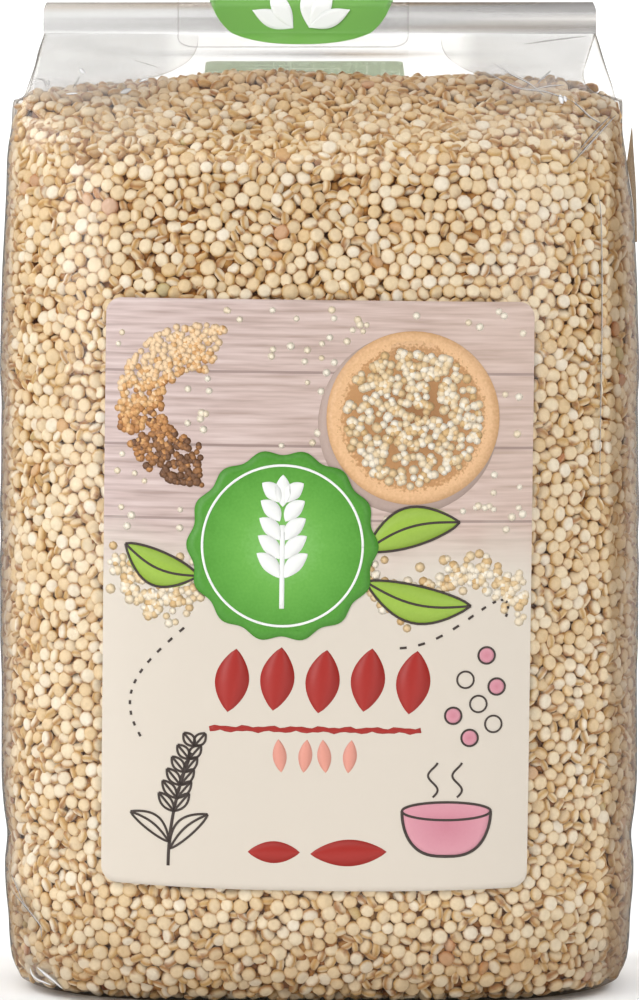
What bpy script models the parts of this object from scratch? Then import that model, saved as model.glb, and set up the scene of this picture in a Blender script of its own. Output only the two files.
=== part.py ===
"""A clear film bag filled with dry quinoa, with a paper label on its front and a clear sticker over its top.

Metres, +Z up. The bag stands on its flat bottom at z = 0 and its front faces -Y.
The bag is one closed solid: the film and the grain that fills it. Label and sticker are thin solids.
"""

import math

import bpy
import numpy as np

MM = 0.001

# Heights of the bag, from its flat bottom to the fold at its top.
SHOULDER_Z = 123.5 * MM
BAND_Z = 141.3 * MM
TOP_Z = 146.0 * MM

# Each level of the filled body: height, half width, half depth.
BODY_LEVELS = (
    (0.0, 41.4, 21.5),
    (0.6, 43.6, 23.4),
    (2.2, 45.3, 25.6),
    (5.5, 46.3, 27.3),
    (11.0, 46.8, 28.6),
    (22.0, 47.3, 29.4),
    (43.0, 47.6, 29.8),
    (67.0, 47.6, 29.4),
    (89.5, 47.5, 28.4),
    (105.5, 47.2, 27.0),
    (115.5, 46.7, 25.6),
    (123.5, 46.3, 23.8),
)
SECTION_EXPONENT = 2.9
POINTS_AROUND = 96

# The gable above the shoulder: its front and back panels lean together. The sides lean in a little up to the
# tuck, and above it they are folded in between the panels. A panel's edge is a crease, so many points round
# from the middle of the side. The back panel is the wider one.
FRONT_CREASE = 9 / POINTS_AROUND * 2 * math.pi
BACK_CREASE = 5 / POINTS_AROUND * 2 * math.pi
PANEL_HALF_WIDTH = 41.0 * MM
TUCK_HALF_WIDTH = 18.0 * MM
TUCK_Z = 131.0 * MM
SIDE_LEAN = 0.055
TUCK_CURVE = 1.7
BAND_HALF_DEPTH = 1.1 * MM
FLAP_DEPTH = 2.1 * MM
EDGE_THICKNESS = 0.5 * MM
FOLD_RISE = 0.7 * MM
FOLD_RUN = 0.4 * MM

# The pebbled relief that the grain gives the film, and the broad unevenness of a filled bag: each wave has so
# many bulges round the bag and leans as it rises, by one turn of its phase in so much height.
RELIEF_DEPTH = 0.35 * MM
RELIEF_FOOT_Z = 5.0 * MM
RELIEF_SEED = 11
SWELL = 0.45 * MM
SWELL_WAVES = ((3, 17.0 * MM), (5, -11.0 * MM))
SWELL_FOOT = 25.0 * MM
SWELL_HEAD = 20.0 * MM

# A pleat pinches each lower side, where the tucked side turns into the flat bottom.
PLEAT_DEPTH = 1.3 * MM
PLEAT_Z = 12.0 * MM
PLEAT_SLOPE = 13.0 * MM
PLEAT_WIDTH = 2.4 * MM
PLEAT_REACH = 1.35

BODY_ROW_PITCH = 4.0 * MM
FOOT_ROWS = (0.0, 0.25 * MM, 0.9 * MM, 2.2 * MM, 4.0 * MM, 6.5 * MM)
GABLE_ROWS = 10

# The levels of the folded band: the share of its height, and how far its fold has drawn in there.
BAND_LEVELS = ((0.0, 0.0), (0.72, 0.0), (0.93, 0.35), (1.0, 1.0))
FOLD_PINCH_X = 0.012
FOLD_PINCH_Y = 0.55

# The paper label.
LABEL_WIDTH = 61.6 * MM
LABEL_BOTTOM_Z = 18.2 * MM
LABEL_TOP_Z = 102.6 * MM
LABEL_CORNER = 2.2 * MM
LABEL_BOW = 0.6 * MM
LABEL_TILT = math.radians(0.66)
LABEL_PAPER = 0.3 * MM
LABEL_CORNER_POINTS = 5
LABEL_COLUMNS = 15
LABEL_ROWS = 23
CLEARANCE = 0.3 * MM

# The clear sticker that runs over the folded top.
STICKER_LEFT_X = -21.0 * MM
STICKER_RIGHT_X = 13.2 * MM
STICKER_FRONT_Z = 139.0 * MM
STICKER_BACK_Z = 132.5 * MM
STICKER_DROP_Z = 138.6 * MM
STICKER_FILM = 0.3 * MM


def clear_scene():
    for old in list(bpy.data.objects):
        bpy.data.objects.remove(old)


def material(name, colour, roughness, metallic=0.0, alpha=1.0):
    """A Principled material in one colour."""
    made = bpy.data.materials.new(name)
    made.use_nodes = True
    shader = made.node_tree.nodes["Principled BSDF"]
    shader.inputs["Base Color"].default_value = (*colour, 1.0)
    shader.inputs["Roughness"].default_value = roughness
    shader.inputs["Metallic"].default_value = metallic
    shader.inputs["Alpha"].default_value = alpha
    return made


def place_mesh(name, points, faces, finish, smooth=False):
    """Makes one named object from points and faces."""
    mesh = bpy.data.meshes.new(name)
    mesh.from_pydata([tuple(p) for p in points], [], faces)
    mesh.update()
    if smooth:
        mesh.shade_smooth()
    mesh.materials.append(finish)
    made = bpy.data.objects.new(name, mesh)
    bpy.context.scene.collection.objects.link(made)
    return made


def smooth_curve(at, knots, values):
    """A cubic through the knots, whose slope at each knot is the mean slope of its two neighbours."""
    knots, values = np.asarray(knots, float), np.asarray(values, float)
    slopes = np.gradient(values, knots)
    spot = np.clip(np.searchsorted(knots, at, side="right") - 1, 0, len(knots) - 2)
    span = knots[spot + 1] - knots[spot]
    t = (np.clip(at, knots[0], knots[-1]) - knots[spot]) / span
    rise = values[spot + 1] - values[spot]
    start, end = slopes[spot] * span, slopes[spot + 1] * span
    curve = start * t + (3 * rise - 2 * start - end) * t**2
    return values[spot] + curve + (start + end - 2 * rise) * t**3


def half_width(z):
    heights, widths, _ = zip(*BODY_LEVELS)
    return smooth_curve(z / MM, heights, widths) * MM


def half_depth(z):
    heights, _, depths = zip(*BODY_LEVELS)
    return smooth_curve(z / MM, heights, depths) * MM


def swell(angle, z):
    """Broad bulges and hollows of the filled film: two slow waves that fade out at the foot and the shoulder."""
    wave = sum(np.sin(bulges * angle + z / lean) for bulges, lean in SWELL_WAVES)
    fade = np.clip(z / SWELL_FOOT, 0, 1) * np.clip((SHOULDER_Z - z) / SWELL_HEAD, 0, 1)
    return SWELL / len(SWELL_WAVES) * wave * fade


def turned_from_side(angle):
    """How far an angle is from the middle of the nearer side: 0 there, a quarter turn at front and back."""
    return np.abs(np.mod(angle + math.pi / 2, math.pi) - math.pi / 2)


def pleat(angle, z):
    """The depth of the pleats: grooves that rise from the foot of each corner to the middle of the side."""
    along = turned_from_side(angle) / FRONT_CREASE
    off = (z - PLEAT_Z - PLEAT_SLOPE * (1 - along)) / PLEAT_WIDTH
    return PLEAT_DEPTH * np.exp(-(off**2)) * np.clip(PLEAT_REACH - along, 0, 1)


def body_ring(angle, z):
    """A level of the body: a superellipse of its half width and half depth, moved out by the swell and in by
    the pleats."""
    power = 2.0 / SECTION_EXPONENT
    x = half_width(z) * np.sign(np.cos(angle)) * np.abs(np.cos(angle)) ** power
    y = half_depth(z) * np.sign(np.sin(angle)) * np.abs(np.sin(angle)) ** power
    reach = 1 + (swell(angle, z) - pleat(angle, z)) / np.hypot(x, y)
    return x * reach, y * reach


def side_and_panel(angle):
    """Two shares: side is 0 in mid side and 1 at its crease, and panel is 0 there and 1 in mid panel."""
    turned = turned_from_side(angle)
    crease = np.where(np.sin(angle) > 0, BACK_CREASE, FRONT_CREASE)
    side = np.clip(turned / crease, 0, 1)
    panel = np.clip((turned - crease) / (math.pi / 2 - crease), 0, 1)
    return side, panel


def ridge_ring(angle):
    """The gable's upper end: two flat panels, with each side a V whose point is tucked in between them."""
    side, panel = side_and_panel(angle)
    x_side = TUCK_HALF_WIDTH + (PANEL_HALF_WIDTH - TUCK_HALF_WIDTH) * side
    x = np.where(panel > 0, PANEL_HALF_WIDTH * (1 - panel), x_side)
    y = np.where(panel > 0, BAND_HALF_DEPTH, (BAND_HALF_DEPTH - EDGE_THICKNESS) * side)
    return x * np.sign(np.cos(angle)), y * np.sign(np.sin(angle))


def gable_ring(angle, share):
    """A level of the gable, as a share of the way from shoulder to ridge. Panels lean in evenly. The sides lean
    in a little up to the tuck, and from there on their creases follow evenly and their middles much faster."""
    side, panel = side_and_panel(angle)
    low_x, low_y = body_ring(angle, SHOULDER_Z)
    high_x, high_y = ridge_ring(angle)
    start = (TUCK_Z - SHOULDER_Z) / (BAND_Z - SHOULDER_Z)
    even = np.clip((share - start) / (1 - start), 0, 1)
    lean = SIDE_LEAN * min(share / start, 1)
    tucked = lean + (1 - SIDE_LEAN) * (1 - (1 - even) ** TUCK_CURVE)
    pull = np.where(panel > 0, even + (share - even) * panel, tucked + (even - tucked) * side)
    return low_x + (high_x - low_x) * pull, low_y + (high_y - low_y) * share


def band_ring(angle, pinch):
    """The folded top band: a flat slab, deeper at the back where the sealed end is folded down. pinch rounds
    its top."""
    x, y = ridge_ring(angle)
    panel = side_and_panel(angle)[1]
    x = np.where(panel > 0, x, np.sign(np.cos(angle)) * PANEL_HALF_WIDTH)
    y = np.where(y > 0, y * FLAP_DEPTH / BAND_HALF_DEPTH, y)
    middle = (FLAP_DEPTH - BAND_HALF_DEPTH) / 2
    return x * (1 - FOLD_PINCH_X * pinch), middle + (y - middle) * (1 - FOLD_PINCH_Y * pinch)


def bag_rings():
    """All levels of the bag from the flat bottom to the top of the band, as a list of point rings."""
    angle = np.arange(POINTS_AROUND) * (2 * math.pi / POINTS_AROUND)
    row_count = round((SHOULDER_Z - FOOT_ROWS[-1]) / BODY_ROW_PITCH) + 1
    rows = np.linspace(FOOT_ROWS[-1], SHOULDER_Z, row_count)
    pebbles = np.random.default_rng(RELIEF_SEED)
    rings = []
    for z in (*FOOT_ROWS[:-1], *rows):
        x, y = body_ring(angle, z)
        dent = RELIEF_DEPTH * pebbles.random(POINTS_AROUND)
        dent = dent * (RELIEF_FOOT_Z < z < SHOULDER_Z - BODY_ROW_PITCH / 2)
        shrink = 1 - dent / np.hypot(x, y)
        rings.append((x * shrink, y * shrink, np.full(POINTS_AROUND, z)))
    for share in np.linspace(0, 1, GABLE_ROWS + 1)[1:]:
        x, y = gable_ring(angle, share)
        z = SHOULDER_Z + (BAND_Z - SHOULDER_Z) * share
        rings.append((x, y, np.full(POINTS_AROUND, z)))
    for rise, pinch in BAND_LEVELS:
        x, y = band_ring(angle, pinch)
        rings.append((x, y, np.full(POINTS_AROUND, BAND_Z + (TOP_Z - BAND_Z) * rise)))
    return [np.column_stack(ring) for ring in rings]


def build_bag(finish):
    """Joins each ring to the next with four-sided faces, and closes the flat bottom and the narrow top."""
    rings = bag_rings()
    count = POINTS_AROUND
    faces = [tuple(range(count))[::-1]]
    for row in range(len(rings) - 1):
        low, high = row * count, (row + 1) * count
        for k in range(count):
            after = (k + 1) % count
            faces.append((low + k, low + after, high + after, high + k))
    last = (len(rings) - 1) * count
    faces.append(tuple(range(last, last + count)))
    return place_mesh("bag", np.vstack(rings), faces, finish, smooth=True)


def front_skin(x, z):
    """The depth y of the bag's front film at x and z, without the fine relief."""
    share = np.clip(np.abs(x) / half_width(z), 0, 1)
    angle = np.arccos(share ** (SECTION_EXPONENT / 2))
    angle = np.where(x < 0, math.pi - angle, angle)
    return body_ring(-angle, z)[1]


def closed_sheet(name, inner, outer, finish):
    """A thin solid between two grids of points of the same shape, inner and outer, closed along all edges."""
    rows, columns = inner.shape[:2]
    size = rows * columns

    def spot(i, j, layer):
        return layer * size + i * columns + j

    faces = []
    for i in range(rows - 1):
        for j in range(columns - 1):
            inside = (spot(i, j, 0), spot(i + 1, j, 0), spot(i + 1, j + 1, 0), spot(i, j + 1, 0))
            faces.append(inside)
            faces.append(tuple(corner + size for corner in inside[::-1]))
    edge = [(i, 0) for i in range(rows)]
    edge += [(rows - 1, j) for j in range(1, columns)]
    edge += [(i, columns - 1) for i in range(rows - 2, -1, -1)]
    edge += [(0, j) for j in range(columns - 2, 0, -1)]
    for here, after in zip(edge, edge[1:] + edge[:1]):
        faces.append((spot(*after, 0), spot(*here, 0), spot(*here, 1), spot(*after, 1)))
    points = np.vstack([inner.reshape(-1, 3), outer.reshape(-1, 3)])
    return place_mesh(name, points, faces, finish)


def build_label(finish):
    """The paper label, bent over the front of the bag. Its corners are round, and its lower edge hangs in a
    slight bow."""
    half = LABEL_WIDTH / 2
    corner_turns = np.linspace(0, math.pi / 2, LABEL_CORNER_POINTS)
    corner = half - LABEL_CORNER * (1 - np.sin(corner_turns))
    middle = np.linspace(-corner[0], corner[0], LABEL_COLUMNS)
    across = np.concatenate([-corner[:0:-1], middle, corner[1:]])
    over = np.clip(np.abs(across) - (half - LABEL_CORNER), 0, LABEL_CORNER)
    cut = LABEL_CORNER - np.sqrt(LABEL_CORNER**2 - over**2)
    low = LABEL_BOTTOM_Z + LABEL_BOW * ((across / half) ** 2 - 1) + cut
    high = LABEL_TOP_Z - cut
    up = np.linspace(0, 1, LABEL_ROWS)[:, None]
    flat_z = low + (high - low) * up
    flat_x = np.broadcast_to(across, flat_z.shape)
    centre = (LABEL_TOP_Z + LABEL_BOTTOM_Z) / 2
    turn, lift = math.cos(LABEL_TILT), math.sin(LABEL_TILT)
    x = flat_x * turn + (flat_z - centre) * lift
    z = centre + (flat_z - centre) * turn - flat_x * lift
    skin = front_skin(x, z)
    inner = np.dstack([x, skin - CLEARANCE, z])
    outer = np.dstack([x, skin - CLEARANCE - LABEL_PAPER, z])
    return closed_sheet("front_label", inner, outer, finish)


def gable_depth(z):
    """How far the flat middle of a gable panel is from the bag's middle plane at height z."""
    share = (z - SHOULDER_Z) / (BAND_Z - SHOULDER_Z)
    return half_depth(SHOULDER_Z) * (1 - share) + BAND_HALF_DEPTH * share


def offset_path(path, distance):
    """A path in the YZ plane, moved sideways by that distance, with its corners kept sharp."""
    steps = np.diff(path, axis=0)
    sides = np.column_stack([-steps[:, 1], steps[:, 0]])
    sides = sides / np.linalg.norm(sides, axis=1)[:, None]
    before = np.vstack([sides[:1], sides])
    after = np.vstack([sides, sides[-1:]])
    corner = before + after
    corner = corner / (1 + np.sum(before * after, axis=1))[:, None]
    return path + corner * distance


def build_sticker(finish):
    """The clear sticker: up the front gable panel, over the folded band, and down the back panel."""
    path = np.array(
        [
            (-gable_depth(STICKER_FRONT_Z), STICKER_FRONT_Z),
            (-BAND_HALF_DEPTH, BAND_Z),
            (-BAND_HALF_DEPTH, TOP_Z - FOLD_RISE),
            (-BAND_HALF_DEPTH + FOLD_RUN, TOP_Z),
            (FLAP_DEPTH - FOLD_RUN, TOP_Z),
            (FLAP_DEPTH, TOP_Z - FOLD_RISE),
            (FLAP_DEPTH, BAND_Z),
            (gable_depth(STICKER_DROP_Z), STICKER_DROP_Z),
            (gable_depth(STICKER_BACK_Z), STICKER_BACK_Z),
        ]
    )
    inner_path = offset_path(path, CLEARANCE)
    outer_path = offset_path(path, CLEARANCE + STICKER_FILM)
    across = np.array([STICKER_LEFT_X, STICKER_RIGHT_X])

    def swept(line):
        x = np.broadcast_to(across, (len(line), len(across)))
        y = np.broadcast_to(line[:, :1], x.shape)
        z = np.broadcast_to(line[:, 1:], x.shape)
        return np.dstack([x, y, z])

    return closed_sheet("closure_sticker", swept(inner_path), swept(outer_path), finish)


def centre_over_origin(objects):
    """Moves all pieces together, so that the middle of the whole object's box stands over the origin."""
    corners = np.vstack([[v.co[:] for v in made.data.vertices] for made in objects])
    middle = (corners.min(0) + corners.max(0)) / 2
    for made in objects:
        made.location = (-middle[0], -middle[1], 0.0)


def main():
    clear_scene()
    grain = material("filled_film", (0.80, 0.66, 0.46), 0.35)
    paper = material("label_paper", (0.88, 0.80, 0.70), 0.6)
    clear = material("sticker_film", (0.30, 0.52, 0.16), 0.3)
    pieces = [build_bag(grain), build_label(paper), build_sticker(clear)]
    centre_over_origin(pieces)


main()
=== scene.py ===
import math

import bpy
import numpy as np
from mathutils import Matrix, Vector


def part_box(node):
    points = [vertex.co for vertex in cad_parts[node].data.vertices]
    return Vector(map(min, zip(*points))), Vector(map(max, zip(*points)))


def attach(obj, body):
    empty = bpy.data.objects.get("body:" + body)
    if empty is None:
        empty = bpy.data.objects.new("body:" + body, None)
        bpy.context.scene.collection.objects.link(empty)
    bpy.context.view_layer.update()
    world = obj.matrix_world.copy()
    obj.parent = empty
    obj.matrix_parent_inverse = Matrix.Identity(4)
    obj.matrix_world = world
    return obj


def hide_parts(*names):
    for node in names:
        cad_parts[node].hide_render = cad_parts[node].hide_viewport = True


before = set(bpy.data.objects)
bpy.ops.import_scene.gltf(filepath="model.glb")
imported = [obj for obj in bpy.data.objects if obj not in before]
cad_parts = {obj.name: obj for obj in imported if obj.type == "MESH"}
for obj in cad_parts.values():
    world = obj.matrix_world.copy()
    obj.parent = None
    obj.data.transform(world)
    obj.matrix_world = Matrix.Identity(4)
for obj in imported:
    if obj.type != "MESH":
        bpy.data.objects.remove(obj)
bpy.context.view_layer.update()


# The pouch is one sheet of clear, faintly milky plastic film, formed into a tube with both sides tucked in,
# and welded across both ends. Filled, it stands as a soft block. Its top is drawn into a gable and folded
# flat into a band.
MM = 0.001
SECTION_EXPONENT = 2.9
SHOULDER_Z = 123.5 * MM
BAND_Z = 141.3 * MM
TOP_Z = 146.0 * MM
LEFT_FRONT_CREASE = math.radians(27)
RIGHT_FRONT_CREASE = math.radians(43)
BACK_CREASE = math.radians(18.75)
PANEL_HALF_WIDTH = 41.0 * MM
TUCK_HALF_WIDTH = 18.0 * MM
TUCK_Z = 131.5 * MM
SIDE_LEAN = 0.055
TUCK_CURVE = 3.2
FULLEST_X = 46 * MM
BAND_HALF_DEPTH = 1.1 * MM
FLAP_DEPTH = 2.1 * MM
EDGE_THICKNESS = 0.5 * MM
SHOULDER_BEND = 3.2 * MM
RIGHT_PINCH = 0.9 * MM
RIGHT_PINCH_Z = 124.5 * MM

cad_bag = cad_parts["bag"]
cad_spots = np.empty(len(cad_bag.data.vertices) * 3)
cad_bag.data.vertices.foreach_get("co", cad_spots)
cad_spots = cad_spots.reshape(-1, 3)
ring_of, ring_heights = np.unique(np.round(cad_spots[:, 2], 5), return_inverse=True)[::-1]


def ring_extents(values):
    """Highest and lowest of the values in each of the solid's level rings."""
    high = np.full(len(ring_heights), -np.inf)
    low = np.full(len(ring_heights), np.inf)
    np.maximum.at(high, ring_of, values)
    np.minimum.at(low, ring_of, values)
    return high, low


x_high, x_low = ring_extents(cad_spots[:, 0])
y_high, y_low = ring_extents(cad_spots[:, 1])
AXIS_X = (x_high[-1] + x_low[-1]) / 2
AXIS_Y = (y_high[-1] + y_low[-1]) / 2 - (FLAP_DEPTH - BAND_HALF_DEPTH) / 2
on_body = ring_heights < SHOULDER_Z + 0.1 * MM
BODY_HEIGHTS = ring_heights[on_body]
BODY_HALF_WIDTHS = ((x_high - x_low) / 2)[on_body]
BODY_HALF_DEPTHS = ((y_high - y_low) / 2)[on_body]


def smooth_curve(at, knots, values):
    """A cubic through the knots, whose slope at each knot is the mean slope of its two neighbours."""
    slopes = np.gradient(values, knots)
    spot = np.clip(np.searchsorted(knots, at, side="right") - 1, 0, len(knots) - 2)
    span = knots[spot + 1] - knots[spot]
    t = (np.clip(at, knots[0], knots[-1]) - knots[spot]) / span
    rise = values[spot + 1] - values[spot]
    start, end = slopes[spot] * span, slopes[spot + 1] * span
    curve = start * t + (3 * rise - 2 * start - end) * t**2
    return values[spot] + curve + (start + end - 2 * rise) * t**3


def half_width(z):
    """The pouch's half width at height z, on the cubic through the solid's rings."""
    return smooth_curve(z, BODY_HEIGHTS, BODY_HALF_WIDTHS)


def half_depth(z):
    """The same for its half depth."""
    return smooth_curve(z, BODY_HEIGHTS, BODY_HALF_DEPTHS)


def section(angle, z):
    """A level of the filled pouch: the superellipse |x/a|^n + |y/b|^n = 1 with that level's half width and
    depth."""
    power = 2 / SECTION_EXPONENT
    x = half_width(z) * np.sign(np.cos(angle)) * np.abs(np.cos(angle)) ** power
    y = half_depth(z) * np.sign(np.sin(angle)) * np.abs(np.sin(angle)) ** power
    return x, y


def side_and_panel(angle):
    """Two shares: side runs from 0 in mid side to 1 at its crease, and panel from 0 there to 1 in mid
    panel."""
    turned = np.abs(np.mod(angle + math.pi / 2, math.pi) - math.pi / 2)
    front_crease = np.where(np.cos(angle) > 0, RIGHT_FRONT_CREASE, LEFT_FRONT_CREASE)
    crease = np.where(np.sin(angle) > 0, BACK_CREASE, front_crease)
    side = np.clip(turned / crease, 0, 1)
    panel = np.clip((turned - crease) / (math.pi / 2 - crease), 0, 1)
    return side, panel


def ridge(angle):
    """Where the gable meets the folded band: two flat panels, and each side a V tucked in between them."""
    side, panel = side_and_panel(angle)
    x_side = TUCK_HALF_WIDTH + (PANEL_HALF_WIDTH - TUCK_HALF_WIDTH) * side
    x = np.where(panel > 0, PANEL_HALF_WIDTH * (1 - panel), x_side)
    y = np.where(panel > 0, BAND_HALF_DEPTH, (BAND_HALF_DEPTH - EDGE_THICKNESS) * side)
    return x * np.sign(np.cos(angle)), y * np.sign(np.sin(angle))


def gable(angle, z):
    """A level of the gable: panels lean in evenly from shoulder to ridge. The sides lean in a little up to
    the tuck, and above it their middles fold in between the panels, fast at first."""
    share = np.clip((z - SHOULDER_Z) / (BAND_Z - SHOULDER_Z), 0, 1)
    side, panel = side_and_panel(angle)
    low_x, low_y = section(angle, np.full_like(z, SHOULDER_Z))
    high_x, high_y = ridge(angle)
    even = np.clip((z - TUCK_Z) / (BAND_Z - TUCK_Z), 0, 1)
    lean = SIDE_LEAN * np.clip((z - SHOULDER_Z) / (TUCK_Z - SHOULDER_Z), 0, 1)
    tucked = lean + (1 - SIDE_LEAN) * (1 - (1 - even) ** TUCK_CURVE)
    pull = np.where(panel > 0, even + (share - even) * panel, tucked + (even - tucked) * side)
    return low_x + (high_x - low_x) * pull, low_y + (high_y - low_y) * share


def pouch_point(angle, z):
    """Points of the film at an angle round the pouch and a height, as rows of x, y, z. Body and gable meet
    in a soft bend: near the shoulder each point is the weighted mean of levels just above and below it. The
    right shoulder is pinched in a little."""
    reach = SHOULDER_BEND * np.exp(-(((z - SHOULDER_Z) / (4 * MM)) ** 2))
    x, y = 0, 0
    for step, weight in ((-1, 0.11), (-0.5, 0.22), (0, 0.34), (0.5, 0.22), (1, 0.11)):
        level = z + step * reach
        body, top = section(angle, level), gable(angle, level)
        above = level > SHOULDER_Z
        x = x + weight * np.where(above, top[0], body[0])
        y = y + weight * np.where(above, top[1], body[1])
    x = x - RIGHT_PINCH * np.clip(x / FULLEST_X, 0, 1) ** 8 * np.exp(-(((z - RIGHT_PINCH_Z) / (6 * MM)) ** 2))
    return np.stack([x + AXIS_X, y + AXIS_Y, np.broadcast_to(z, x.shape)], -1)


def length_round():
    """The way round the pouch at mid height, as matching lists of angle and distance walked."""
    angle = np.linspace(0, 2 * math.pi, 14401)
    x, y = section(angle, np.full_like(angle, TOP_Z / 2))
    steps = np.hypot(np.diff(x), np.diff(y))
    return angle, np.concatenate([[0], np.cumsum(steps)])


ROUND_ANGLES, ROUND_WALK = length_round()
GIRTH = ROUND_WALK[-1]


def angle_at(walk):
    """The angle round the pouch at a distance walked round it."""
    return np.interp(np.mod(walk, GIRTH), ROUND_WALK, ROUND_ANGLES)


def walk_to(angle):
    """The distance walked round the pouch up to an angle."""
    return np.interp(np.mod(angle, 2 * math.pi), ROUND_ANGLES, ROUND_WALK)


def wave_noise(u, v, scale_u, scale_v, seed, count=24):
    """Smooth noise between about -1 and 1: a sum of sine waves of random direction and phase on a flat
    sheet."""
    draw = np.random.default_rng(seed)
    turn, phase = draw.uniform(0, 2 * math.pi, (2, count))
    pace = draw.uniform(0.5, 1.5, count)
    total = np.zeros(np.broadcast(u, v).shape)
    for k in range(count):
        along = math.cos(turn[k]) * u / scale_u + math.sin(turn[k]) * v / scale_v
        total += np.sin(pace[k] * along + phase[k])
    return total / math.sqrt(count)


# Soft patches on the front, each with its middle and reach (x, z) in mm, and how smoky and how milky it is.
# Some are film that is duller where it is slack or doubled; the smoky patch low on the left is painted shade
# in the fold there, and the milky spots at the left foot are painted highlights.
DULL_AND_PAINTED_PATCHES = (
    ((42.5, 129.3), (4.2, 2.6), 0.30, 0.08),
    ((41.5, 123.5), (4.0, 4.5), 0.13, 0.0),
    ((-35.0, 139.6), (3.5, 0.9), 0.10, 0.0),
    ((-30.3, 138.7), (3.8, 0.8), 0.10, 0.0),
    ((-33.5, 136.4), (6.0, 1.3), 0.08, 0.05),
    ((-2.0, 138.3), (19.0, 0.5), 0.70, 0.0),
    ((6.0, 138.0), (12.0, 0.5), 0.30, 0.06),
    ((-30.0, 128.0), (10.0, 4.5), 0.0, 0.10),
    ((28.0, 129.0), (10.0, 4.5), 0.0, 0.10),
    # A painted highlight at the left foot.
    ((-42.3, 4.7), (1.3, 0.5), 0.0, 0.5),
    ((33.0, 133.3), (5.0, 1.5), 0.05, 0.24),
    ((26.0, 135.6), (4.0, 1.0), 0.04, 0.18),
    ((39.5, 124.5), (3.5, 3.0), 0.05, 0.03),
    ((-38.0, 133.0), (6.0, 1.8), 0.03, 0.26),
    ((-28.0, 134.0), (4.5, 1.3), 0.03, 0.18),
    # Painted shade in the fold low on the left, then a painted highlight at the left foot.
    ((-43.6, 12.0), (2.4, 3.6), 0.30, 0.16),
    ((-41.0, 3.6), (3.0, 2.2), 0.0, 0.22),
    ((41.0, 5.0), (3.0, 3.0), 0.10, 0.14),
)

# The film is a grid of columns round the pouch and rows up it. FLANKS gives the darker film along each side,
# partly doubled film and partly painted shade where the sides turn from the lamps: which side, how smoky, and
# in mm from the middle where it starts and how softly. The film also darkens towards the foot as painted
# shade. The band's stripes run from its foot at 0 to its edge at 1, each so much smokier than the band as a
# whole; they are painted reflections, drawn as grey streaks.
COLUMNS = 480
FILM_PITCH = 1.0 * MM
BAND_PINCH = (0, 0, 0.04, 0, 0.05, 0, 0.06, 0.02, 0.1, 0.3, 0.6, 1.0)
FLOOR_SHARES = (0.2, 0.45, 0.7, 0.9, 0.995)
WEB_EDGE = 20.5 * MM
FLANKS = ((1, 0.42, 42.2, 0.7), (-1, 0.46, 44.8, 1.5))
FLANK_TOP = 129.0
FLANK_BACK = 10 * MM
FLANK_FADE = 12 * MM
FOOT_TOP = 16 * MM
FOOT_PAINTED_SHADE = 0.18
WEB_SMOKE = 0.12
BAND_STRIPE_LEVELS = (0, 0.16, 0.22, 0.42, 0.45, 0.50, 0.70, 0.74, 0.80, 0.96, 1.0)
BAND_REFLECTION_STRIPES = (-0.10, -0.08, 0.06, 0.04, 0.16, -0.09, -0.09, 0.06, 0.12, 0.22, 0.38)
BAND_BASE_SMOKE = 0.52
BAND_FOOT = 0.1
BAND_EDGE = 0.9
BODY_HAZE = 0.004
GABLE_HAZE = 0.10
MOST_HAZE = 0.8
FLOOR_VALUES = {"haze_and_highlight": BODY_HAZE, "grey": 0.7, "smoke_and_shade": 0.0, "calm": 0.0}
FILM_CLEAR = (0.985, 0.985, 0.98)
FILM_SLANT = (0.76, 0.73, 0.69)
FILM_OUTLINE_SHADE = (0.14, 0.12, 0.10)
FILM_DULL = (0.41, 0.40, 0.39)
FILM_BROWN = (0.42, 0.31, 0.19)
FILM_SMOKE = (0.30, 0.29, 0.29)
FILM_MILK = (0.86, 0.85, 0.85)
FILM_SHINE = 0.6
FILM_MOST_SHINE = 0.10
foot_rows = np.array([0, 0.12, 0.35, 0.75, 1.3, 2.0, 2.9, 4.0, 5.3]) * MM
body_rows = np.arange(6.2 * MM, SHOULDER_Z, FILM_PITCH)
low_gable_rows = np.linspace(SHOULDER_Z, TUCK_Z, 18, endpoint=False)
gable_rows = np.append(low_gable_rows, TUCK_Z + (BAND_Z - TUCK_Z) * np.linspace(0, 1, 32) ** 1.5)
film_walk = np.arange(COLUMNS) * GIRTH / COLUMNS
for corner in (BACK_CREASE, math.pi - BACK_CREASE, math.pi + LEFT_FRONT_CREASE, -RIGHT_FRONT_CREASE):
    nearest = np.argmin(np.abs(film_walk - walk_to(corner)))
    film_walk[nearest] = walk_to(corner)
film_angle = angle_at(film_walk)


def away_from_label(x, y, z):
    """1 on bare film and 0 where the paper label holds the film flat, with a soft edge between."""
    low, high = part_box("front_label")
    gap_x = np.maximum(low[0] - x, x - high[0])
    gap_z = np.maximum(low[2] - z, z - high[2])
    return np.where(y < AXIS_Y, np.clip(np.maximum(gap_x, gap_z) / (2.5 * MM), 0, 1), 1.0)


def film_offset(points, walk):
    """How far the film stands off its smooth form: slow unevenness, finer puckers near the top, and
    drapes."""
    x, y, z = points[..., 0], points[..., 1], points[..., 2]
    bare = away_from_label(x, y, z) * np.clip(z / (4 * MM), 0, 1)
    taped = (x > AXIS_X - 22 * MM) & (x < AXIS_X + 14 * MM) & (z > 131 * MM)
    bare = bare * np.where(taped, 0.35, 1)
    low_part = np.clip((SHOULDER_Z + 4 * MM - z) / (10 * MM), 0, 1)
    slow = 0.08 * wave_noise(walk, z, 5 * MM, 8 * MM, 1) * low_part
    pucker = np.exp(-(((z - 129 * MM) / (7 * MM)) ** 2)) * wave_noise(walk, z, 2.6 * MM, 1.5 * MM, 2)
    drape = np.clip((z - 133 * MM) / (5 * MM), 0, 1) * wave_noise(walk, z, 9 * MM, 1.1 * MM, 3)
    offset = (slow + 0.16 * pucker + 0.10 * drape) * MM
    return offset * bare


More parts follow.
